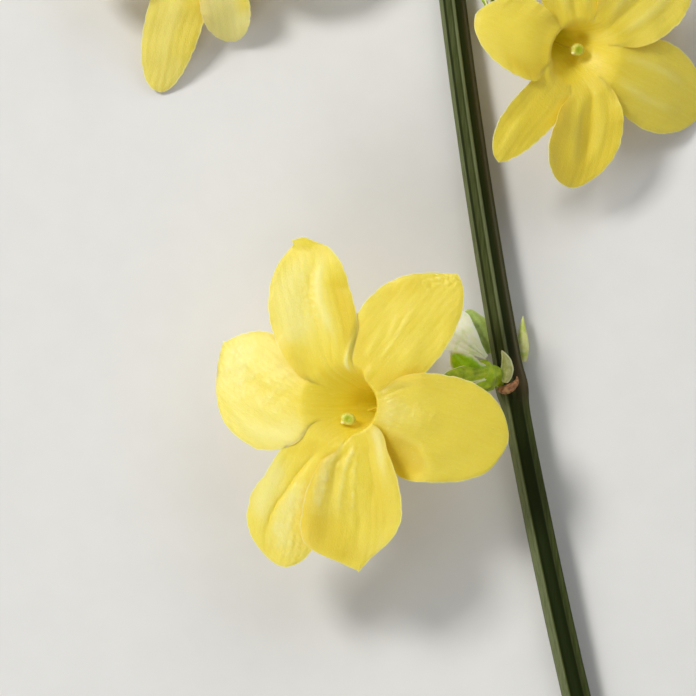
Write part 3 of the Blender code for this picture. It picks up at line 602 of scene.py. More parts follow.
def corolla_surface(bloom):
    """The middle surface as an array of rows by lobes by columns by 3, in the layout, with its material values."""
    lobes = sorted(bloom.lobes, key=lambda lobe: (lobe.foot + 180) % 360)
    limbs = [limb_of(bloom, index, lobes) for index in range(len(lobes))]
    at = np.array(frame_at(bloom.throat, bloom.facing))
    limb = np.stack([made[0] for made in limbs], axis=1) @ at[:3, :3].T + at[:3, 3]
    place = np.stack([made[1] for made in limbs], axis=1)
    tone = np.stack([made[2] for made in limbs], axis=1)
    foot = limb_angles(lobes, bloom.columns)
    rings = tube_rings(bloom, foot.ravel()).reshape(TUBE_ROWS, len(lobes), bloom.columns + 1, 3)
    surface = np.concatenate([rings, limb])
    for _ in range(THROAT_SMOOTHING):
        low, high = TUBE_ROWS - 6, TUBE_ROWS + FUNNEL_ROWS - 2
        middle = surface[low:high]
        surface[low:high] = middle * 0.5 + (surface[low - 1:high - 1] + surface[low + 1:high + 1]) * 0.25
    down = np.arange(TUBE_ROWS)[:, None, None]
    deep = FUNNEL_FOOT - (TUBE_ROWS - down) * 0.35
    tube_place = np.stack(np.broadcast_arrays(foot[None] * 1.2, deep, bloom.seed + 0.0), axis=-1)
    tube_tone = np.stack(np.broadcast_arrays(9.0 + foot[None] * 0, deep, 0.0), axis=-1)
    return surface, np.concatenate([tube_place, place]), np.concatenate([tube_tone, tone])


def limb_angles(lobes, columns):
    """The angle of each lobe's columns round the foot of the funnel, in radians."""
    across = spread_columns(columns)
    angles = []
    for index, lobe in enumerate(lobes):
        before, after = lobes[index - 1], lobes[(index + 1) % len(lobes)]
        right_sector = ((lobe.foot - before.foot) % 360) / 2
        left_sector = ((after.foot - lobe.foot) % 360) / 2
        angles.append(np.radians(lobe.foot + across * np.where(across > 0, left_sector, right_sector)))
    return np.array(angles)


def corolla_body(surface, rim):
    """Points and faces of the closed skin round a corolla's middle surface, thin at the lobes' edges."""
    rows, lobes, columns = surface.shape[:3]
    joined = TUBE_ROWS + FUNNEL_ROWS
    width = columns - 1
    along = np.gradient(surface, axis=0)
    across = np.gradient(surface, axis=2)
    normal = np.cross(across, along)
    normal /= np.maximum(np.linalg.norm(normal, axis=3, keepdims=True), 1e-9)
    for lobe in range(lobes):
        after = (lobe + 1) % lobes
        shared = normal[: joined + 1, lobe, -1] + normal[: joined + 1, after, 0]
        shared /= np.linalg.norm(shared, axis=1, keepdims=True)
        normal[: joined + 1, lobe, -1] = shared
        normal[: joined + 1, after, 0] = shared
    half = PETAL_EDGE / 2 + (PETAL_SHEET - PETAL_EDGE) / 2 * smooth_step(rim, 0.0, EDGE_BAND)[..., None]
    upper, lower = surface - normal * half, surface + normal * half
    ring = lobes * width
    number = np.zeros((rows, lobes, columns), dtype=int)
    lobe_index, column_index = np.meshgrid(np.arange(lobes), np.arange(columns), indexing="ij")
    for row in range(rows):
        if row <= joined:
            number[row] = row * ring + (lobe_index * width + column_index) % ring
        else:
            number[row] = (joined + 1) * ring + (row - joined - 1) * lobes * columns + lobe_index * columns + column_index
    total = (joined + 1) * ring + (rows - joined - 1) * lobes * columns
    points = np.zeros((2 * total, 3))
    points[number.ravel()] = upper.reshape(-1, 3)
    points[number.ravel() + total] = lower.reshape(-1, 3)
    faces = []
    for row in range(rows - 1):
        for lobe in range(lobes):
            for column in range(width):
                a, b = number[row, lobe, column], number[row, lobe, column + 1]
                d, c = number[row + 1, lobe, column], number[row + 1, lobe, column + 1]
                faces.append((a, d, c, b))
                faces.append((a + total, b + total, c + total, d + total))
            if row >= joined:
                a, d = number[row, lobe, 0], number[row + 1, lobe, 0]
                faces.append((a, a + total, d + total, d))
                b, c = number[row, lobe, -1], number[row + 1, lobe, -1]
                faces.append((b, c, c + total, b + total))
    for lobe in range(lobes):
        for column in range(width):
            a, b = number[-1, lobe, column], number[-1, lobe, column + 1]
            faces.append((a, a + total, b + total, b))
    foot = [int(index) for index in range(ring)]
    faces.append(tuple(foot))
    faces.append(tuple(index + total for index in reversed(foot)))
    return points, faces, number, total


def make_corolla(bloom, materials):
    surface, place, tone = corolla_surface(bloom)
    points, faces, number, total = corolla_body(surface, tone[..., 0])
    values = []
    outer_tone = tone.copy()
    outer_tone[..., 1] = np.maximum(outer_tone[..., 1], OUTER_TONE)
    # The outer face gets half of the painted light and shade.
    outer_tone[..., 2] *= 0.5
    for inner, outer in ((place, place), (tone, outer_tone)):
        flat = np.zeros((2 * total, 3))
        flat[number.ravel()] = inner.reshape(-1, 3)
        flat[number.ravel() + total] = outer.reshape(-1, 3)
        values.append(flat)
    shape = Shape()
    shape.add(points, faces, values[0], values[1])
    return shape.make("corolla_" + bloom.name, [materials["petal"]], ["bloom_" + bloom.name], 50.0)


def make_style(bloom, materials):
    """The style and its stigma, a knob with a green hollow, a pale rim and a small point on one side."""
    at = frame_at(bloom.throat, bloom.facing)
    head = at @ bloom.stigma
    path = tube_path(bloom, 16)[1:-3]
    way = bloom.facing.normalized()
    path[0] = path[0] + (path[1] - path[0]).normalized() * CLEARANCE
    knee = head - way * STYLE_DROP
    path = path[:-1] + curve_points(path[-1], path[-1] - path[-2], knee, way, 14)
    path.append(head - way * STIGMA_RADIUS * 0.5)
    sides = 40
    shape = Shape()
    radii = np.full((len(path), sides), STYLE_RADIUS)
    rings = sweep(path, radii)
    faces = ring_faces(len(path), sides)
    faces.append(tuple(range(sides)))
    last = (len(path) - 1) * sides
    faces.append(tuple(range(last + sides - 1, last - 1, -1)))
    shape.add(rings, faces, (0, 0, 0), (0, 0, 1.0))
    at = np.array(frame_at(head, way))
    turns, rows = 48, 26
    around = 2 * math.pi * np.arange(turns) / turns
    profile = np.linspace(0.02, 0.985, rows) * math.pi
    knob = []
    tones = []
    for polar in profile:
        dimple = 0.34 * math.exp(-(((math.pi - polar) / 0.62) ** 2))
        notch = 0.10 * np.cos(2 * around + 0.6) * math.sin(polar) ** 2
        point = 0.30 * np.exp(-(((around - math.radians(212)) / 0.22) ** 2)) * math.exp(-(((polar - 1.9) / 0.35) ** 2))
        radius = STIGMA_RADIUS * (1 - dimple + notch + point)
        knob.append(np.stack([
            radius * math.sin(polar) * np.cos(around),
            radius * math.sin(polar) * np.sin(around),
            -radius * math.cos(polar) * 0.75,
        ], axis=-1))
        depth = smooth_step(polar, 2.2, 2.75)
        tones.append(np.stack(np.broadcast_arrays(depth + 0 * around, point * 3, 0.0), axis=-1))
    knob = np.array(knob) @ at[:3, :3].T + at[:3, 3]
    faces = [tuple(reversed(face)) for face in ring_faces(rows, turns)]
    faces.append(tuple(range(turns - 1, -1, -1)))
    last = (rows - 1) * turns
    faces.append(tuple(range(last, last + turns)))
    shape.add(knob, faces, knob.reshape(-1, 3), np.array(tones).reshape(-1, 3))
    return shape.make("stigma_" + bloom.name, [materials["stigma"]], ["style_" + bloom.name])


def sepal_sheet(number, sepal):
    """The middle surface of a sepal in the calyx's frame, its keel raised, and its material values."""
    s = np.linspace(0, 1, 40)[:, None] ** 0.9
    across = np.linspace(1, -1, 21)[None, :]
    radius = CUP_RADIUS - CUP_WALL / 2 + sepal.flare * s**SEPAL_OPENING + 0.05 * (number % 2)
    rising = SEPAL_FOOT + (1 - SEPAL_FOOT) * np.sin(math.pi / 2 * np.clip(s / SEPAL_WIDEST, 0, 1))
    falling = np.clip(1 - ((s - SEPAL_WIDEST) / (1 - SEPAL_WIDEST)) ** 2, 0, 1) ** SEPAL_TAPER
    share = np.where(s < SEPAL_WIDEST, rising, falling) * (1 + 0.02 * np.sin(17 * s + number))
    width = np.maximum(SEPAL_HALF_WIDTH * share, 0.02)
    angle = math.radians(sepal.around) + across * width / radius
    keel = 0.07 * np.exp(-((across / 0.16) ** 2)) * (1 - s)
    ribs = 0.018 * np.cos(across * 12.0) * (1 - s)
    curl = -0.22 * across**2 * s + 0.05 * swell(s * 2.2, across * 0.7, 40 + number)
    radius = radius + keel + ribs + curl
    height = SEPAL_SEAT - 0.1 + (sepal.length + 0.1) * s
    rows = np.stack(np.broadcast_arrays(radius * np.cos(angle), radius * np.sin(angle), height), axis=-1)
    rim = np.minimum((1 - np.abs(across)) * width, (1 - s) * sepal.length + 0 * across)
    return rows, np.stack(np.broadcast_arrays(rim, s, across + 0.0 * s), axis=-1)


def wide_sepal():
    """The sepal of the middle bloom that shows its face, broad up to a corner at its tip."""
    return Leaf(
        foot=Vector((11.50, -2.15, 6.05)),
        foot_way=Vector((-1.0, 0.05, 0.25)),
        tip=Vector((8.66, -0.28, 6.55)),
        tip_way=Vector((-0.60, 0.80, 0.0)),
        facing=Vector((-0.05, -0.25, 1.0)),
        half_width=0.95,
        cup=-0.22,
        foot_share=0.75,
        belly=1.35,
        blunt=0.70,
    )


def make_calyx(bloom, materials):
    """The stalk, the ribbed cup that holds the tube's foot, and six pointed sepals with pale rims."""
    way = bloom.base_way.normalized()
    path = curve_points(bloom.stalk_foot, bloom.stalk_way, bloom.base, way, 14)
    shares = np.interp(np.linspace(0, 1, 14), [0, 0.25, 0.5, 0.75, 1], [1.15, 1.0, 1.0, 1.1, 1.7])
    radii = list(STALK_RADIUS * shares)
    for depth, share in ((0.10, 0.66), (0.20, 0.78), (0.32, 0.89), (0.45, 0.965), (0.75, 0.99), (1.05, 1.0), (1.30, 1.0)):
        path.append(bloom.base + way * depth)
        radii.append(CUP_RADIUS * share)
    sides = 72
    angles = 2 * math.pi * np.arange(sides) / sides
    outer = np.array(radii)[:, None] * (1 + 0.025 * np.cos(6 * angles))[None]
    rings = sweep(path, outer)
    inner = sweep(path[-4:], np.full((4, sides), CUP_RADIUS - CUP_WALL))[::-1]
    skin = np.concatenate([rings, inner])
    faces = ring_faces(len(skin), sides)
    faces.append(tuple(range(sides)))
    last = (len(skin) - 1) * sides
    faces.append(tuple(range(last + sides - 1, last - 1, -1)))
    shape = Shape()
    height = np.repeat(np.linspace(-1.2, 0.1, len(skin)), sides)
    cup_tone = np.stack([np.full(len(height), 0.6), height, np.zeros(len(height))], axis=-1)
    shape.add(skin, faces, skin.reshape(-1, 3), cup_tone)
    at = np.array(frame_at(bloom.base, way))
    for number, sepal in enumerate(SEPAL_RING):
        if bloom.name == "centre" and number == WIDE_SEPAL:
            rows, tone = leaf_sheet(wide_sepal(), 0.06, 11.0, number)
        else:
            rows, tone = sepal_sheet(number, sepal)
            rows = rows @ at[:3, :3].T + at[:3, 3]
        points, faces = sheet_body(rows, SEPAL_SHEET)
        both = np.concatenate([tone.reshape(-1, 3)] * 2)
        shape.add(points, faces, points, both, int(number == WIDE_SEPAL))
    # The second finish is a brighter copy of the calyx green, partly painted light against the petals' shade.
    finishes = [materials["calyx"], materials["sepal"]]
    return shape.make("calyx_leaves_" + bloom.name, finishes, ["calyx_" + bloom.name])


def leaf_sheet(leaf, keel, ribs, seed):
    """The middle surface of a small pointed leaf and its material values: rim, share along, and place across."""
    count, width = 57, 29
    path = curve_points(leaf.foot, leaf.foot_way, leaf.tip, leaf.tip_way, count)
    places = np.linspace(-1, 1, width)
    rows, tones = [], []
    for index, point in enumerate(path):
        s = index / (count - 1)
        along = (path[min(index + 1, count - 1)] - path[max(index - 1, 0)]).normalized()
        side = along.cross(leaf.facing).normalized()
        out = side.cross(along)
        belly = max(math.sin(math.pi * s**leaf.belly), 0.0) ** leaf.blunt
        share = leaf.foot_share * (1 - s) + LEAF_BELLY * belly
        reach = max(leaf.half_width * share * (1 + 0.025 * math.sin(23 * s + seed)), 0.02)
        lift = leaf.cup * share * places**2 + keel * np.exp(-((places / 0.12) ** 2)) * (1 - s)
        lift = lift + 0.018 * np.cos(places * ribs) * share
        lift = lift + 0.07 * swell(s * 2.4 + 0 * places, places * 0.8, seed) * min(reach, 1.0)
        rows.append(np.array(point) + np.outer(places * reach, side) + np.outer(lift, out))
        rim = np.minimum((1 - np.abs(places)) * reach, (1 - s) * (leaf.tip - leaf.foot).length)
        tones.append(np.stack(np.broadcast_arrays(rim, s, places), axis=-1))
    return np.array(rows), np.array(tones)


def add_leaf(shape, leaf, keel, ribs, seed):
    rows, tones = leaf_sheet(leaf, keel, ribs, seed)
    points, faces = sheet_body(rows, LEAF_SHEET)
    shape.add(points, faces, points, np.concatenate([tones.reshape(-1, 3)] * 2))


def make_bracts(materials):
    """The two bracts behind the middle bloom's calyx and the small front one with the scar at its foot."""
    broad = Leaf(
        foot=Vector((11.65, -0.80, 2.3)),
        foot_way=Vector((-0.78, 0.63, 0.15)),
        tip=Vector((6.2, 3.6, 3.4)),
        tip_way=Vector((-0.80, 0.60, 0.1)),
        facing=Vector((0.1, -0.1, 1.0)),
        half_width=2.0,
        cup=-0.30,
        foot_share=0.10,
        belly=1.2,
        blunt=1.0,
    )
    behind = Leaf(
        foot=Vector((11.75, -0.5, 1.4)),
        foot_way=Vector((-0.35, 0.95, 0.0)),
        tip=Vector((10.05, 3.25, 1.3)),
        tip_way=Vector((-0.35, 0.95, 0.0)),
        facing=UP,
        half_width=1.30,
        cup=-0.20,
        foot_share=0.35,
        belly=0.8,
        blunt=0.45,
    )
    front = Leaf(
        foot=Vector((13.18, -2.90, 4.55)),
        foot_way=Vector((0.25, 1.0, 0.15)),
        tip=Vector((12.90, -0.20, 5.05)),
        tip_way=Vector((-0.50, 0.87, 0.10)),
        facing=UP,
        half_width=0.46,
        cup=-0.25,
        foot_share=0.35,
        belly=0.8,
        blunt=0.8,
    )
    shape = Shape()
    add_leaf(shape, broad, 0.05, 16.0, 3)
    shape.make("bract_pale_blade", [materials["bract"]], ["bract_pale"])
    shape = Shape()
    add_leaf(shape, behind, 0.05, 12.0, 4)
    shape.make("bract_green_blade", [materials["young"]], ["bract_green"])
    shape = Shape()
    add_leaf(shape, front, 0.10, 6.0, 5)
    path = curve_points(
        Vector((12.66, -3.30, 4.22)), Vector((0.50, -1.0, 0.30)),
        Vector((14.17, -2.40, 4.25)), Vector((-0.40, 0.90, -0.20)), 49,
    )
    shape.add(*knob_body(path, 0.37), (0, 0, 0), slot=1)
    shape.make("bract_front_blade", [materials["front"], materials["scar"]], ["bract_front"])


def knob_body(path, radius):
    """A warty swollen body along a path: points, faces and places."""
    sides = 40
    count = len(path)
    s = np.linspace(0, 1, count)[:, None]
    angles = (2 * math.pi * np.arange(sides) / sides)[None]
    share = 0.45 * (1 - s) + 0.12 * s + 0.72 * np.sin(math.pi * s**0.85)
    warts = 1 + 0.12 * swell(s * 4.0, angles * 0.6, 5) * np.sin(math.pi * s)
    rings = sweep(path, np.maximum(radius * share * warts, 0.02))
    faces = ring_faces(count, sides)
    faces.append(tuple(range(sides)))
    last = (count - 1) * sides
    faces.append(tuple(range(last + sides - 1, last - 1, -1)))
    return rings.reshape(-1, 3), faces, rings.reshape(-1, 3)


def make_bud(materials):
    """The axil bud: overlapping keeled scales round a pointed core."""
    path = curve_points(
        Vector((14.80, -1.15, 1.10)), Vector((0.0, 1.0, 0.05)), Vector((14.76, 2.65, 1.30)), Vector((0.1, 1.0, 0.0)), 61
    )
    sides = 60
    s = np.linspace(0, 1, len(path))[:, None]
    angles = (2 * math.pi * np.arange(sides) / sides)[None]
    share = 0.45 * (1 - s) + 0.12 * s + 0.72 * np.sin(math.pi * s**0.85)
    scale_edge = 0.10 * smooth_step(np.cos(angles - 1.9) - (s * 2.2 - 1.1), -0.06, 0.06) * (1 - s)
    keel = 0.06 * np.exp(-(((angles - 1.6) / 0.16) ** 2)) * (1 - s)
    rings = sweep(path, np.maximum(0.46 * share * (1 + scale_edge + keel), 0.015))
    faces = ring_faces(len(path), sides)
    faces.append(tuple(range(sides)))
    last = (len(path) - 1) * sides
    faces.append(tuple(range(last + sides - 1, last - 1, -1)))
    margin = 0.5 - 0.49 * np.exp(-(((angles - 2.7) / 0.40) ** 2))
    tone = np.stack(np.broadcast_arrays(margin, s, np.cos(angles - 1.9)), axis=-1)
    shape = Shape()
    shape.add(rings, faces, rings.reshape(-1, 3), tone.reshape(-1, 3))
    shape.make("axil_bud_scales", [materials["bud"]], ["axil_bud"])


def stem_skin(y, angles):
    """Radii round the stem at y: four raised ribs with a groove on each side and slightly full faces between. Also
    light and shade painted on the bark, from -1, painted shade, to 1, painted highlight, and how brown."""
    above = float(smooth_step(y, NODE_Y - 1.6, NODE_Y + 1.6))
    turn = math.radians(RIDGE_TURN_BELOW + (RIDGE_TURN_ABOVE - RIDGE_TURN_BELOW) * above)
    quarter = math.pi / 2
    apart = (angles - turn + quarter / 2) % quarter - quarter / 2
    near_node = max(math.exp(-(((y - node) / 1.5) ** 2)) for node in (NODE_Y, UPPER_NODE_Y))
    rib = 0.155 * np.exp(-((np.abs(apart) / 0.17) ** 2.2))
    face = 0.050 * np.exp(-(((np.abs(apart) - quarter / 2) / 0.24) ** 2))
    split = -0.028 * np.exp(-((apart / 0.05) ** 2))
    shape = 0.845 + (rib + split) * (1 - 0.45 * near_node) + face + 0.06 * near_node
    left = (angles - math.pi / 2 + math.pi) % (2 * math.pi) - math.pi
    # Painted light and shade round the stem above the node, by the angle from its top: the left face and the ribs
    # light, the right face and the grooves dark.
    upper = np.interp(left, *zip(
        (-3.1, 0.0), (-2.0, -0.2), (-1.3, 0.45), (-0.95, 0.5), (-0.78, -0.75), (-0.22, -0.85), (-0.15, 0.8),
        (0.05, 0.85), (0.11, -0.45), (0.20, -0.45), (0.26, 0.12), (0.58, 0.10), (0.66, -0.75), (0.88, -0.75),
        (0.98, 0.85), (1.9, 0.8), (2.3, 0.0), (3.1, 0.0),
    ))
    # Below the node, painted light on the left face and painted shade on the middle face.
    lower = np.interp(left, *zip(
        (-3.1, 0.0), (-1.6, -0.1), (-0.62, -0.15), (-0.50, -1.0), (0.34, -1.0), (0.42, 0.2), (0.47, 0.8), (0.56, 0.8),
        (0.66, 0.70), (1.5, 0.95), (2.4, 0.0), (3.1, 0.0),
    ))
    light = upper * above + lower * (1 - above)
    flush = math.exp(-(((y - NODE_Y - 0.6) / 1.7) ** 2)) * np.exp(-(((left + 0.8) / 0.55) ** 2))
    brown = np.clip(flush + 0.6 * above * np.exp(-(((left + 1.15) / 0.45) ** 4)), 0, 1)
    return node_radius(y) * np.minimum(shape, 1.0), light, brown


def limb_piece(name, path, radii, tones, materials, node):
    """A limb with its two cut ends, each a ring of bark, a pale wood ring and a sunken pith."""
    sides = radii.shape[1]
    rings = sweep(path, radii)
    shape = Shape()
    ends = []
    tangents = tangents_of(path)
    for row, outward in ((0, -1.0), (len(path) - 1, 1.0)):
        middle = np.array(path[row])
        way = np.array(tangents[row]) * outward
        closing = []
        for share, sink in ((0.93, 0.0), (0.90, 0.02), (0.55, 0.015), (0.40, 0.02), (0.34, 0.14), (0.10, 0.16)):
            closing.append(middle + (rings[row] - middle) * share - way * sink)
        ends.append(np.array(closing))
    skin = np.concatenate([ends[0][::-1], rings, ends[1]])
    blank = np.zeros((6, sides, 3))
    blank[..., 2] = np.array([1.0, 1.0, 0.85, 0.8, 0.5, 0.5])[:, None]
    values = np.concatenate([blank[::-1], tones, blank])
    faces = ring_faces(len(skin), sides)
    faces.append(tuple(range(sides)))
    last = (len(skin) - 1) * sides
    faces.append(tuple(range(last + sides - 1, last - 1, -1)))
    shape.add(skin, faces, skin.reshape(-1, 3), values.reshape(-1, 3))
    return shape.make(name, [materials["stem"]], [node], 55.0)


def make_stem(materials):
    heights = np.linspace(STEM_LOW, STEM_HIGH, STEM_RINGS)
    angles = 2 * math.pi * np.arange(STEM_SIDES) / STEM_SIDES
    radii, tones = [], []
    for y in heights:
        radius, light, brown = stem_skin(y, angles)
        radii.append(radius)
        tones.append(np.stack(np.broadcast_arrays(light, brown, 0.0), axis=-1))
    radii = np.array(radii)
    grain = swell(heights[:, None] * 0.25, angles[None] * 2.4, 11)
    radii *= 1 + 0.006 * grain
    limb_piece("stem_bark", [stem_axis(y) for y in heights], radii, np.array(tones), materials, "stem")


def make_shoot(materials):
    foot = on_stem(UPPER_NODE_Y + 0.4, 165)
    path = curve_points(foot, out_of_stem(UPPER_NODE_Y + 0.4, 165), SHOOT_TIP, SHOOT_END_WAY, SHOOT_RINGS)
    s = np.linspace(0, 1, SHOOT_RINGS)[:, None]
    angles = (2 * math.pi * np.arange(SHOOT_SIDES) / SHOOT_SIDES)[None]
    rib = np.exp(-((np.abs((angles + 0.4) % (math.pi / 2) - math.pi / 4) / 0.24) ** 2))
    radii = (SHOOT_RADIUS + (SHOOT_TIP_RADIUS - SHOOT_RADIUS) * s) * (0.90 + 0.10 * rib)
    # The shoot's ribs take the bark's painted highlight.
    tones = np.stack(np.broadcast_arrays(rib + 0 * s, 0.0, 0.0), axis=-1)
    limb_piece("side_shoot_bark", path, radii, tones, materials, "side_shoot")


class Nodes:
    """A short way to write a material's node tree."""

    def __init__(self, name):
        self.material = bpy.data.materials.new(name)
        self.material.use_nodes = True
        self.tree = self.material.node_tree
        self.shader = self.tree.nodes["Principled BSDF"]

    def add(self, kind, **values):
        node = self.tree.nodes.new(kind)
        for key, value in values.items():
            setattr(node, key, value)
        return node

    def link(self, source, target):
        self.tree.links.new(source, target)
        return source

    def attribute(self, name):
        return self.add("ShaderNodeAttribute", attribute_name=name)

    def split(self, source):
        node = self.add("ShaderNodeSeparateXYZ")
        self.link(source, node.inputs[0])
        return node.outputs

    def stretch(self, source, scale):
        node = self.add("ShaderNodeMapping")
        node.inputs["Scale"].default_value = scale
        self.link(source, node.inputs["Vector"])
        return node.outputs["Vector"]

    def noise(self, source, scale, detail=4.0, roughness=0.55):
        node = self.add("ShaderNodeTexNoise")
        node.inputs["Scale"].default_value = scale
        node.inputs["Detail"].default_value = detail
        node.inputs["Roughness"].default_value = roughness
        self.link(source, node.inputs["Vector"])
        return node.outputs["Fac"]

    def ramp(self, source, low, high, out_low=0.0, out_high=1.0):
        node = self.add("ShaderNodeMapRange", interpolation_type="SMOOTHSTEP")
        self.link(source, node.inputs["Value"])
        node.inputs["From Min"].default_value = low
        node.inputs["From Max"].default_value = high
        node.inputs["To Min"].default_value = out_low
        node.inputs["To Max"].default_value = out_high
        return node.outputs["Result"]

    def math(self, kind, first, second):
        node = self.add("ShaderNodeMath", operation=kind)
        for index, value in enumerate((first, second)):
            if isinstance(value, float):
                node.inputs[index].default_value = value
            else:
                self.link(value, node.inputs[index])
        return node.outputs[0]

    def mix(self, share, first, second, kind="MIX"):
        node = self.add("ShaderNodeMix", data_type="RGBA", blend_type=kind)
        if isinstance(share, float):
            node.inputs[0].default_value = share
        else:
            self.link(share, node.inputs[0])
        for index, value in ((6, first), (7, second)):
            if isinstance(value, tuple):
                node.inputs[index].default_value = (*value, 1.0)
            else:
                self.link(value, node.inputs[index])
        return node.outputs[2]

    def finish(self, colour, roughness, bump=None, strength=0.3, distance=0.05, **constants):
        self.link(colour, self.shader.inputs["Base Color"])
        if isinstance(roughness, float):
            self.shader.inputs["Roughness"].default_value = roughness
        else:
            self.link(roughness, self.shader.inputs["Roughness"])
        for key, value in constants.items():
            self.shader.inputs[key.replace("_", " ")].default_value = value
        if bump is not None:
            node = self.add("ShaderNodeBump")
            node.inputs["Strength"].default_value = strength
            node.inputs["Distance"].default_value = distance * MM
            self.link(bump, node.inputs["Height"])
            self.link(node.outputs["Normal"], self.shader.inputs["Normal"])
        return self.material


def petal_material():
    """Satin yellow, golden in the throat and paler outwards, streaked, with painted shade, highlights and bright edges.
    """
    made = Nodes("petal_yellow")
    place = made.attribute("place").outputs["Vector"]
    tone = made.split(made.attribute("tone").outputs["Vector"])
    rim, radius, tint = tone[0], tone[1], tone[2]
    outward = made.ramp(radius, 2.4, 6.5)
    colour = made.mix(outward, (0.88, 0.59, 0.026), (0.92, 0.660, 0.066))
    colour = made.mix(made.ramp(radius, 2.1, 3.2), (0.82, 0.57, 0.012), colour)
    colour = made.mix(made.ramp(radius, 0.9, 1.8), (0.90, 0.72, 0.028), colour)
    streaks = made.noise(made.stretch(place, (3.4, 0.42, 1.0)), 1.0, 5.0)
    colour = made.mix(made.ramp(streaks, 0.30, 0.72, 0.0, 0.35), colour, (0.97, 0.745, 0.11))
    fine = made.noise(made.stretch(place, (9.0, 2.2, 1.0)), 1.0, 4.0)
    colour = made.mix(made.ramp(fine, 0.50, 0.75, 0.0, 0.38), colour, (0.84, 0.59, 0.030))
    fleck = made.noise(made.stretch(place, (2.6, 1.5, 1.0)), 1.6, 6.0, 0.7)
    colour = made.mix(made.ramp(fleck, 0.60, 0.76, 0.0, 0.50), colour, (0.99, 0.82, 0.22))
    # Painted shade and highlight: golden below 0 and cream above 0 in the third tone value, partly the petal's own
    # golden and pale patches.
    colour = made.mix(made.ramp(tint, 0.0, -1.3, 0.0, 0.94), colour, (0.77, 0.515, 0.014))
    colour = made.mix(made.ramp(tint, 0.0, 1.0, 0.0, 0.72), colour, (1.0, 0.85, 0.32))
    # Painted highlight: a paler rim along the thin edges of the lobes' outer parts.
    edge = made.math("MULTIPLY", made.ramp(rim, 0.02, 0.13, 0.55, 0.0), made.ramp(radius, 5.0, 8.5))
    colour = made.mix(edge, colour, (1.0, 0.92, 0.44))
    cells = made.noise(made.stretch(place, (8.0, 5.5, 1.0)), 1.0, 3.0)
    specks = made.math("MULTIPLY", made.ramp(cells, 0.56, 0.72, 0.0, 0.40), made.ramp(fleck, 0.44, 0.62))
    colour = made.mix(specks, colour, (1.0, 0.86, 0.30))
    colour = made.mix(made.ramp(cells, 0.46, 0.32, 0.0, 0.16), colour, (0.84, 0.58, 0.030))
    threads = made.noise(made.stretch(place, (7.0, 0.8, 1.0)), 1.0, 4.0)
    bump = made.math("ADD", made.math("MULTIPLY", threads, 0.30), made.math("MULTIPLY", cells, 0.70))
    roughness = made.ramp(fine, 0.3, 0.7, 0.42, 0.56)
    return made.finish(
        colour, roughness, bump, 0.38, 0.11,
        Specular_IOR_Level=0.65, Sheen_Weight=0.12, Sheen_Roughness=0.4,
        Subsurface_Weight=0.55, Subsurface_Scale=0.0012, Subsurface_Radius=(1.0, 0.75, 0.12),
    )


def stigma_material():
    made = Nodes("stigma_green")
    tone = made.split(made.attribute("tone").outputs["Vector"])
    grain = made.noise(made.attribute("place").outputs["Vector"], 9.0, 4.0)
    colour = made.mix(made.ramp(grain, 0.35, 0.7), (0.60, 0.58, 0.050), (0.76, 0.72, 0.14))
    colour = made.mix(tone[0], colour, (0.40, 0.46, 0.008))
    colour = made.mix(made.ramp(tone[1], 0.05, 0.6), colour, (0.95, 0.88, 0.40))
    colour = made.mix(tone[2], colour, (0.82, 0.66, 0.045))
    return made.finish(colour, 0.35, grain, 0.4, 0.06, Subsurface_Weight=0.15, Subsurface_Scale=0.0003)


def leafy_material(name, body, light, dark, rim_colour, rim_width):
    """A leaf's satin skin: veins along it, mottling, and a paler rim."""
    made = Nodes(name)
    place = made.attribute("place").outputs["Vector"]
    tone = made.split(made.attribute("tone").outputs["Vector"])
    rim, along, across = tone[0], tone[1], tone[2]
    mottle = made.noise(place, 1.9, 5.0)
    colour = made.mix(made.ramp(mottle, 0.35, 0.68), body, light)
    patch = made.noise(place, 0.8, 3.0)
    colour = made.mix(made.ramp(patch, 0.50, 0.72, 0.0, 0.8), colour, dark)
    lines = made.noise(made.stretch(place, (5.0, 1.2, 5.0)), 1.4, 4.0)
    colour = made.mix(made.ramp(lines, 0.55, 0.74, 0.0, 0.5), colour, light)
    colour = made.mix(made.ramp(rim, 0.03, rim_width, 1.0, 0.0), colour, rim_colour)
    return made.finish(colour, 0.42, made.math("ADD", lines, mottle), 0.35, 0.08, Specular_IOR_Level=0.45,
                       Subsurface_Weight=0.12, Subsurface_Scale=0.0004)


def scar_material():
    made = Nodes("scar_brown")
    place = made.attribute("place").outputs["Vector"]
    grain = made.noise(place, 3.2, 6.0, 0.65)
    colour = made.mix(made.ramp(grain, 0.35, 0.65), (0.16, 0.065, 0.022), (0.46, 0.21, 0.085))
    pale = made.noise(place, 1.3, 3.0)
    colour = made.mix(made.ramp(pale, 0.58, 0.75, 0.0, 0.7), colour, (0.44, 0.36, 0.12))
    return made.finish(colour, 0.6, grain, 0.6, 0.12)


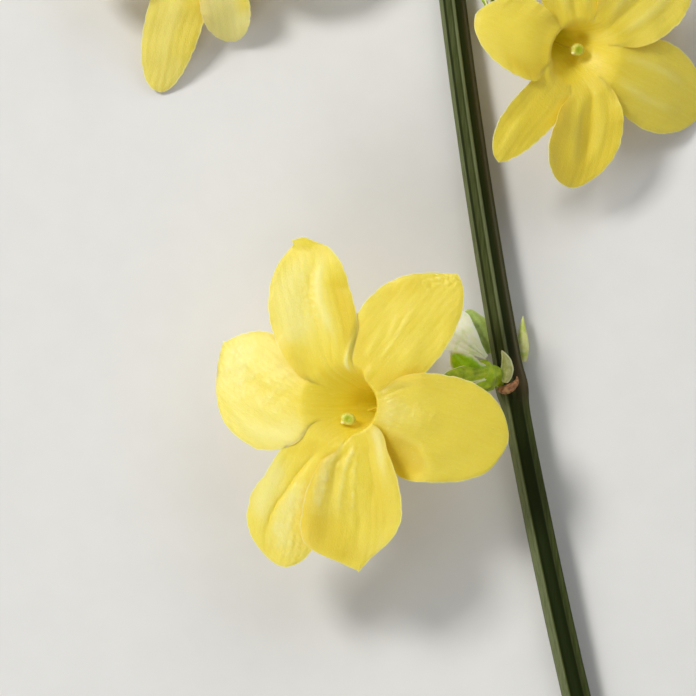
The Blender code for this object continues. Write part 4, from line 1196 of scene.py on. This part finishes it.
def stem_material():
    """Green bark: ribs painted grey as highlight, faces painted dark as shade, fine lines along it, a brown flush at
    the node, and cut wood.
    """
    made = Nodes("stem_green")
    place = made.attribute("place").outputs["Vector"]
    tone = made.split(made.attribute("tone").outputs["Vector"])
    light, brown, cut = tone[0], tone[1], tone[2]
    lines = made.noise(made.stretch(place, (5.5, 0.30, 5.5)), 1.0, 5.0)
    colour = made.mix(made.ramp(lines, 0.35, 0.68), (0.040, 0.052, 0.010), (0.066, 0.080, 0.024))
    patch = made.noise(made.stretch(place, (1.2, 0.25, 1.2)), 1.0, 4.0)
    colour = made.mix(made.ramp(patch, 0.45, 0.75, 0.0, 0.6), colour, (0.070, 0.078, 0.030))
    # Painted shade: darker on the faces turned from the light and in the grooves, where the first tone value is below
    # 0.
    colour = made.mix(made.ramp(light, 0.0, -1.0), colour, (0.010, 0.016, 0.0010))
    # Painted highlight: paler grey-green on the lit ribs and faces, where the first tone value is above 0.
    ribs = made.math("MULTIPLY", made.ramp(light, 0.0, 1.0), made.ramp(lines, 0.2, 0.6, 0.55, 1.0))
    colour = made.mix(ribs, colour, (0.150, 0.172, 0.080))
    specks = made.noise(place, 6.0, 3.0, 0.7)
    colour = made.mix(made.ramp(specks, 0.68, 0.78, 0.0, 0.4), colour, (0.14, 0.12, 0.06))
    colour = made.mix(made.math("MULTIPLY", brown, 0.8), colour, (0.090, 0.062, 0.026))
    wood = made.mix(made.ramp(cut, 0.55, 0.95), (0.62, 0.60, 0.38), (0.42, 0.46, 0.17))
    colour = made.mix(made.ramp(cut, 0.10, 0.40), colour, wood)
    bump = made.math("ADD", lines, made.math("MULTIPLY", specks, 0.4))
    return made.finish(colour, 0.55, bump, 0.45, 0.10, Specular_IOR_Level=0.10)


def floor_material():
    made = Nodes("floor_paper")
    place = made.add("ShaderNodeTexCoord").outputs["Object"]
    grain = made.noise(place, 300.0, 4.0)
    colour = made.mix(made.ramp(grain, 0.3, 0.7), (0.71, 0.71, 0.69), (0.725, 0.725, 0.705))
    return made.finish(colour, 0.8, grain, 0.05, 0.02)


def blooms():
    """The three blooms, from the one that faces straight up to the two that lean."""
    centre = Bloom(
        name="centre",
        seed=3,
        columns=56,
        throat=Vector((-0.08, -4.75, 12.5)),
        facing=Vector((0.0, 0.0, 1.0)),
        lean=Vector((0.85, 0.0)),
        lobes=CENTRE_LOBES,
        stalk_foot=on_stem(NODE_Y + 0.8, 126),
        stalk_way=out_of_stem(NODE_Y + 0.8, 126),
        base=Vector((12.25, -2.12, 4.80)),
        base_way=Vector((-0.93, -0.24, 0.28)),
        stigma=Vector((0.08, -1.17, -0.95)),
    )
    right = Bloom(
        name="right",
        seed=5,
        columns=40,
        throat=Vector((19.6, 24.6, 7.4)),
        facing=Vector((0.42, -0.12, 0.90)),
        lean=Vector((-0.25, 0.20)),
        lobes=RIGHT_LOBES,
        stalk_foot=on_stem(UPPER_NODE_Y - 0.2, 52),
        stalk_way=out_of_stem(UPPER_NODE_Y - 0.2, 52),
        base=Vector((10.4, 32.3, 3.9)),
        base_way=Vector((0.72, -0.62, 0.22)),
        stigma=Vector((0.10, 0.30, -1.10)),
    )
    left = Bloom(
        name="left",
        seed=8,
        columns=40,
        throat=Vector((-12.1, 34.0, 6.91)),
        facing=Vector((0.0, -0.42, 0.906)),
        lean=Vector((0.35, 0.10)),
        lobes=LEFT_LOBES,
        stalk_foot=SHOOT_TIP + SHOOT_END_WAY.normalized() * CLEARANCE,
        stalk_way=SHOOT_END_WAY,
        base=Vector((-0.5, 37.5, 2.9)),
        base_way=Vector((-0.95, -0.16, 0.20)),
        stigma=Vector((-0.10, 0.30, -1.10)),
    )
    return centre, right, left


def add_camera():
    data = bpy.data.cameras.new("camera")
    data.sensor_width = SENSOR
    data.lens = SENSOR * (CAMERA_HEIGHT - BLOOM_PLANE) / (PHOTO_PIXELS / PIXELS_PER_MM)
    camera = bpy.data.objects.new("camera", data)
    bpy.context.scene.collection.objects.link(camera)
    camera.location = (LAYOUT_CENTRE.x * MM, LAYOUT_CENTRE.y * MM, CAMERA_HEIGHT * MM)
    bpy.context.scene.camera = camera


def add_light(name, towards, distance, size, power, colour=(1.0, 1.0, 1.0)):
    """An area light that shines on the sprig from the way towards it."""
    data = bpy.data.lights.new(name, "AREA")
    data.size = size
    data.energy = power
    data.color = colour
    light = bpy.data.objects.new(name, data)
    bpy.context.scene.collection.objects.link(light)
    place = Vector(towards).normalized() * distance
    light.location = place
    light.rotation_euler = (-place).to_track_quat("-Z", "Y").to_euler()


def add_floor():
    mesh = bpy.data.meshes.new("floor")
    side = 1.5
    mesh.from_pydata([(-side, -side, 0), (side, -side, 0), (side, side, 0), (-side, side, 0)], [], [(0, 1, 2, 3)])
    floor = bpy.data.objects.new("floor", mesh)
    bpy.context.scene.collection.objects.link(floor)
    mesh.materials.append(floor_material())


def add_world():
    world = bpy.data.worlds.new("studio")
    world.use_nodes = True
    world.node_tree.nodes["Background"].inputs["Color"].default_value = (1.0, 1.0, 1.0, 1.0)
    world.node_tree.nodes["Background"].inputs["Strength"].default_value = 0.22
    bpy.context.scene.world = world
    bpy.context.scene.view_settings.view_transform = "Standard"


def main():
    materials = {
        "petal": petal_material(),
        "stigma": stigma_material(),
        "calyx": leafy_material(
            "calyx_green", (0.33, 0.50, 0.004), (0.50, 0.64, 0.020), (0.18, 0.26, 0.003), (0.86, 0.92, 0.54), 0.18
        ),
        # Second finish of each calyx, for sepal number WIDE_SEPAL: a brighter, greener copy of the calyx green, partly
        # its own colour and partly painted light that makes up for the petals' shade on it.
        "sepal": leafy_material(
            "sepal_green", (0.33, 0.66, 0.002), (0.46, 0.78, 0.014), (0.25, 0.50, 0.002), (0.90, 0.97, 0.66), 0.36
        ),
        "bract": leafy_material(
            "bract_pale", (0.92, 0.96, 0.66), (0.98, 0.99, 0.86), (0.58, 0.78, 0.14), (0.96, 0.98, 0.80), 0.22
        ),
        "young": leafy_material(
            "leaf_green", (0.34, 0.47, 0.09), (0.46, 0.58, 0.16), (0.24, 0.34, 0.05), (0.56, 0.64, 0.26), 0.16
        ),
        "front": leafy_material(
            "front_bract_green", (0.44, 0.47, 0.13), (0.62, 0.65, 0.28), (0.30, 0.34, 0.07), (0.76, 0.80, 0.46), 0.14
        ),
        "bud": leafy_material(
            "bud_green", (0.78, 0.82, 0.22), (0.92, 0.93, 0.44), (0.58, 0.68, 0.08), (0.96, 0.96, 0.66), 0.30
        ),
        "scar": scar_material(),
        "stem": stem_material(),
    }
    add_camera()
    make_stem(materials)
    make_shoot(materials)
    for bloom in blooms():
        make_corolla(bloom, materials)
        make_style(bloom, materials)
        make_calyx(bloom, materials)
    make_bracts(materials)
    make_bud(materials)
    add_floor()
    add_light("sun", (-0.52, 0.44, 0.78), 0.8, 0.18, 4.1, (1.0, 0.98, 0.95))
    add_light("sky", (0.32, 0.72, 0.80), 0.9, 0.60, 2.0, (0.98, 0.99, 1.0))
    add_light("fill", (-0.35, -0.75, 0.65), 0.9, 0.50, 2.5)
    add_world()


main()
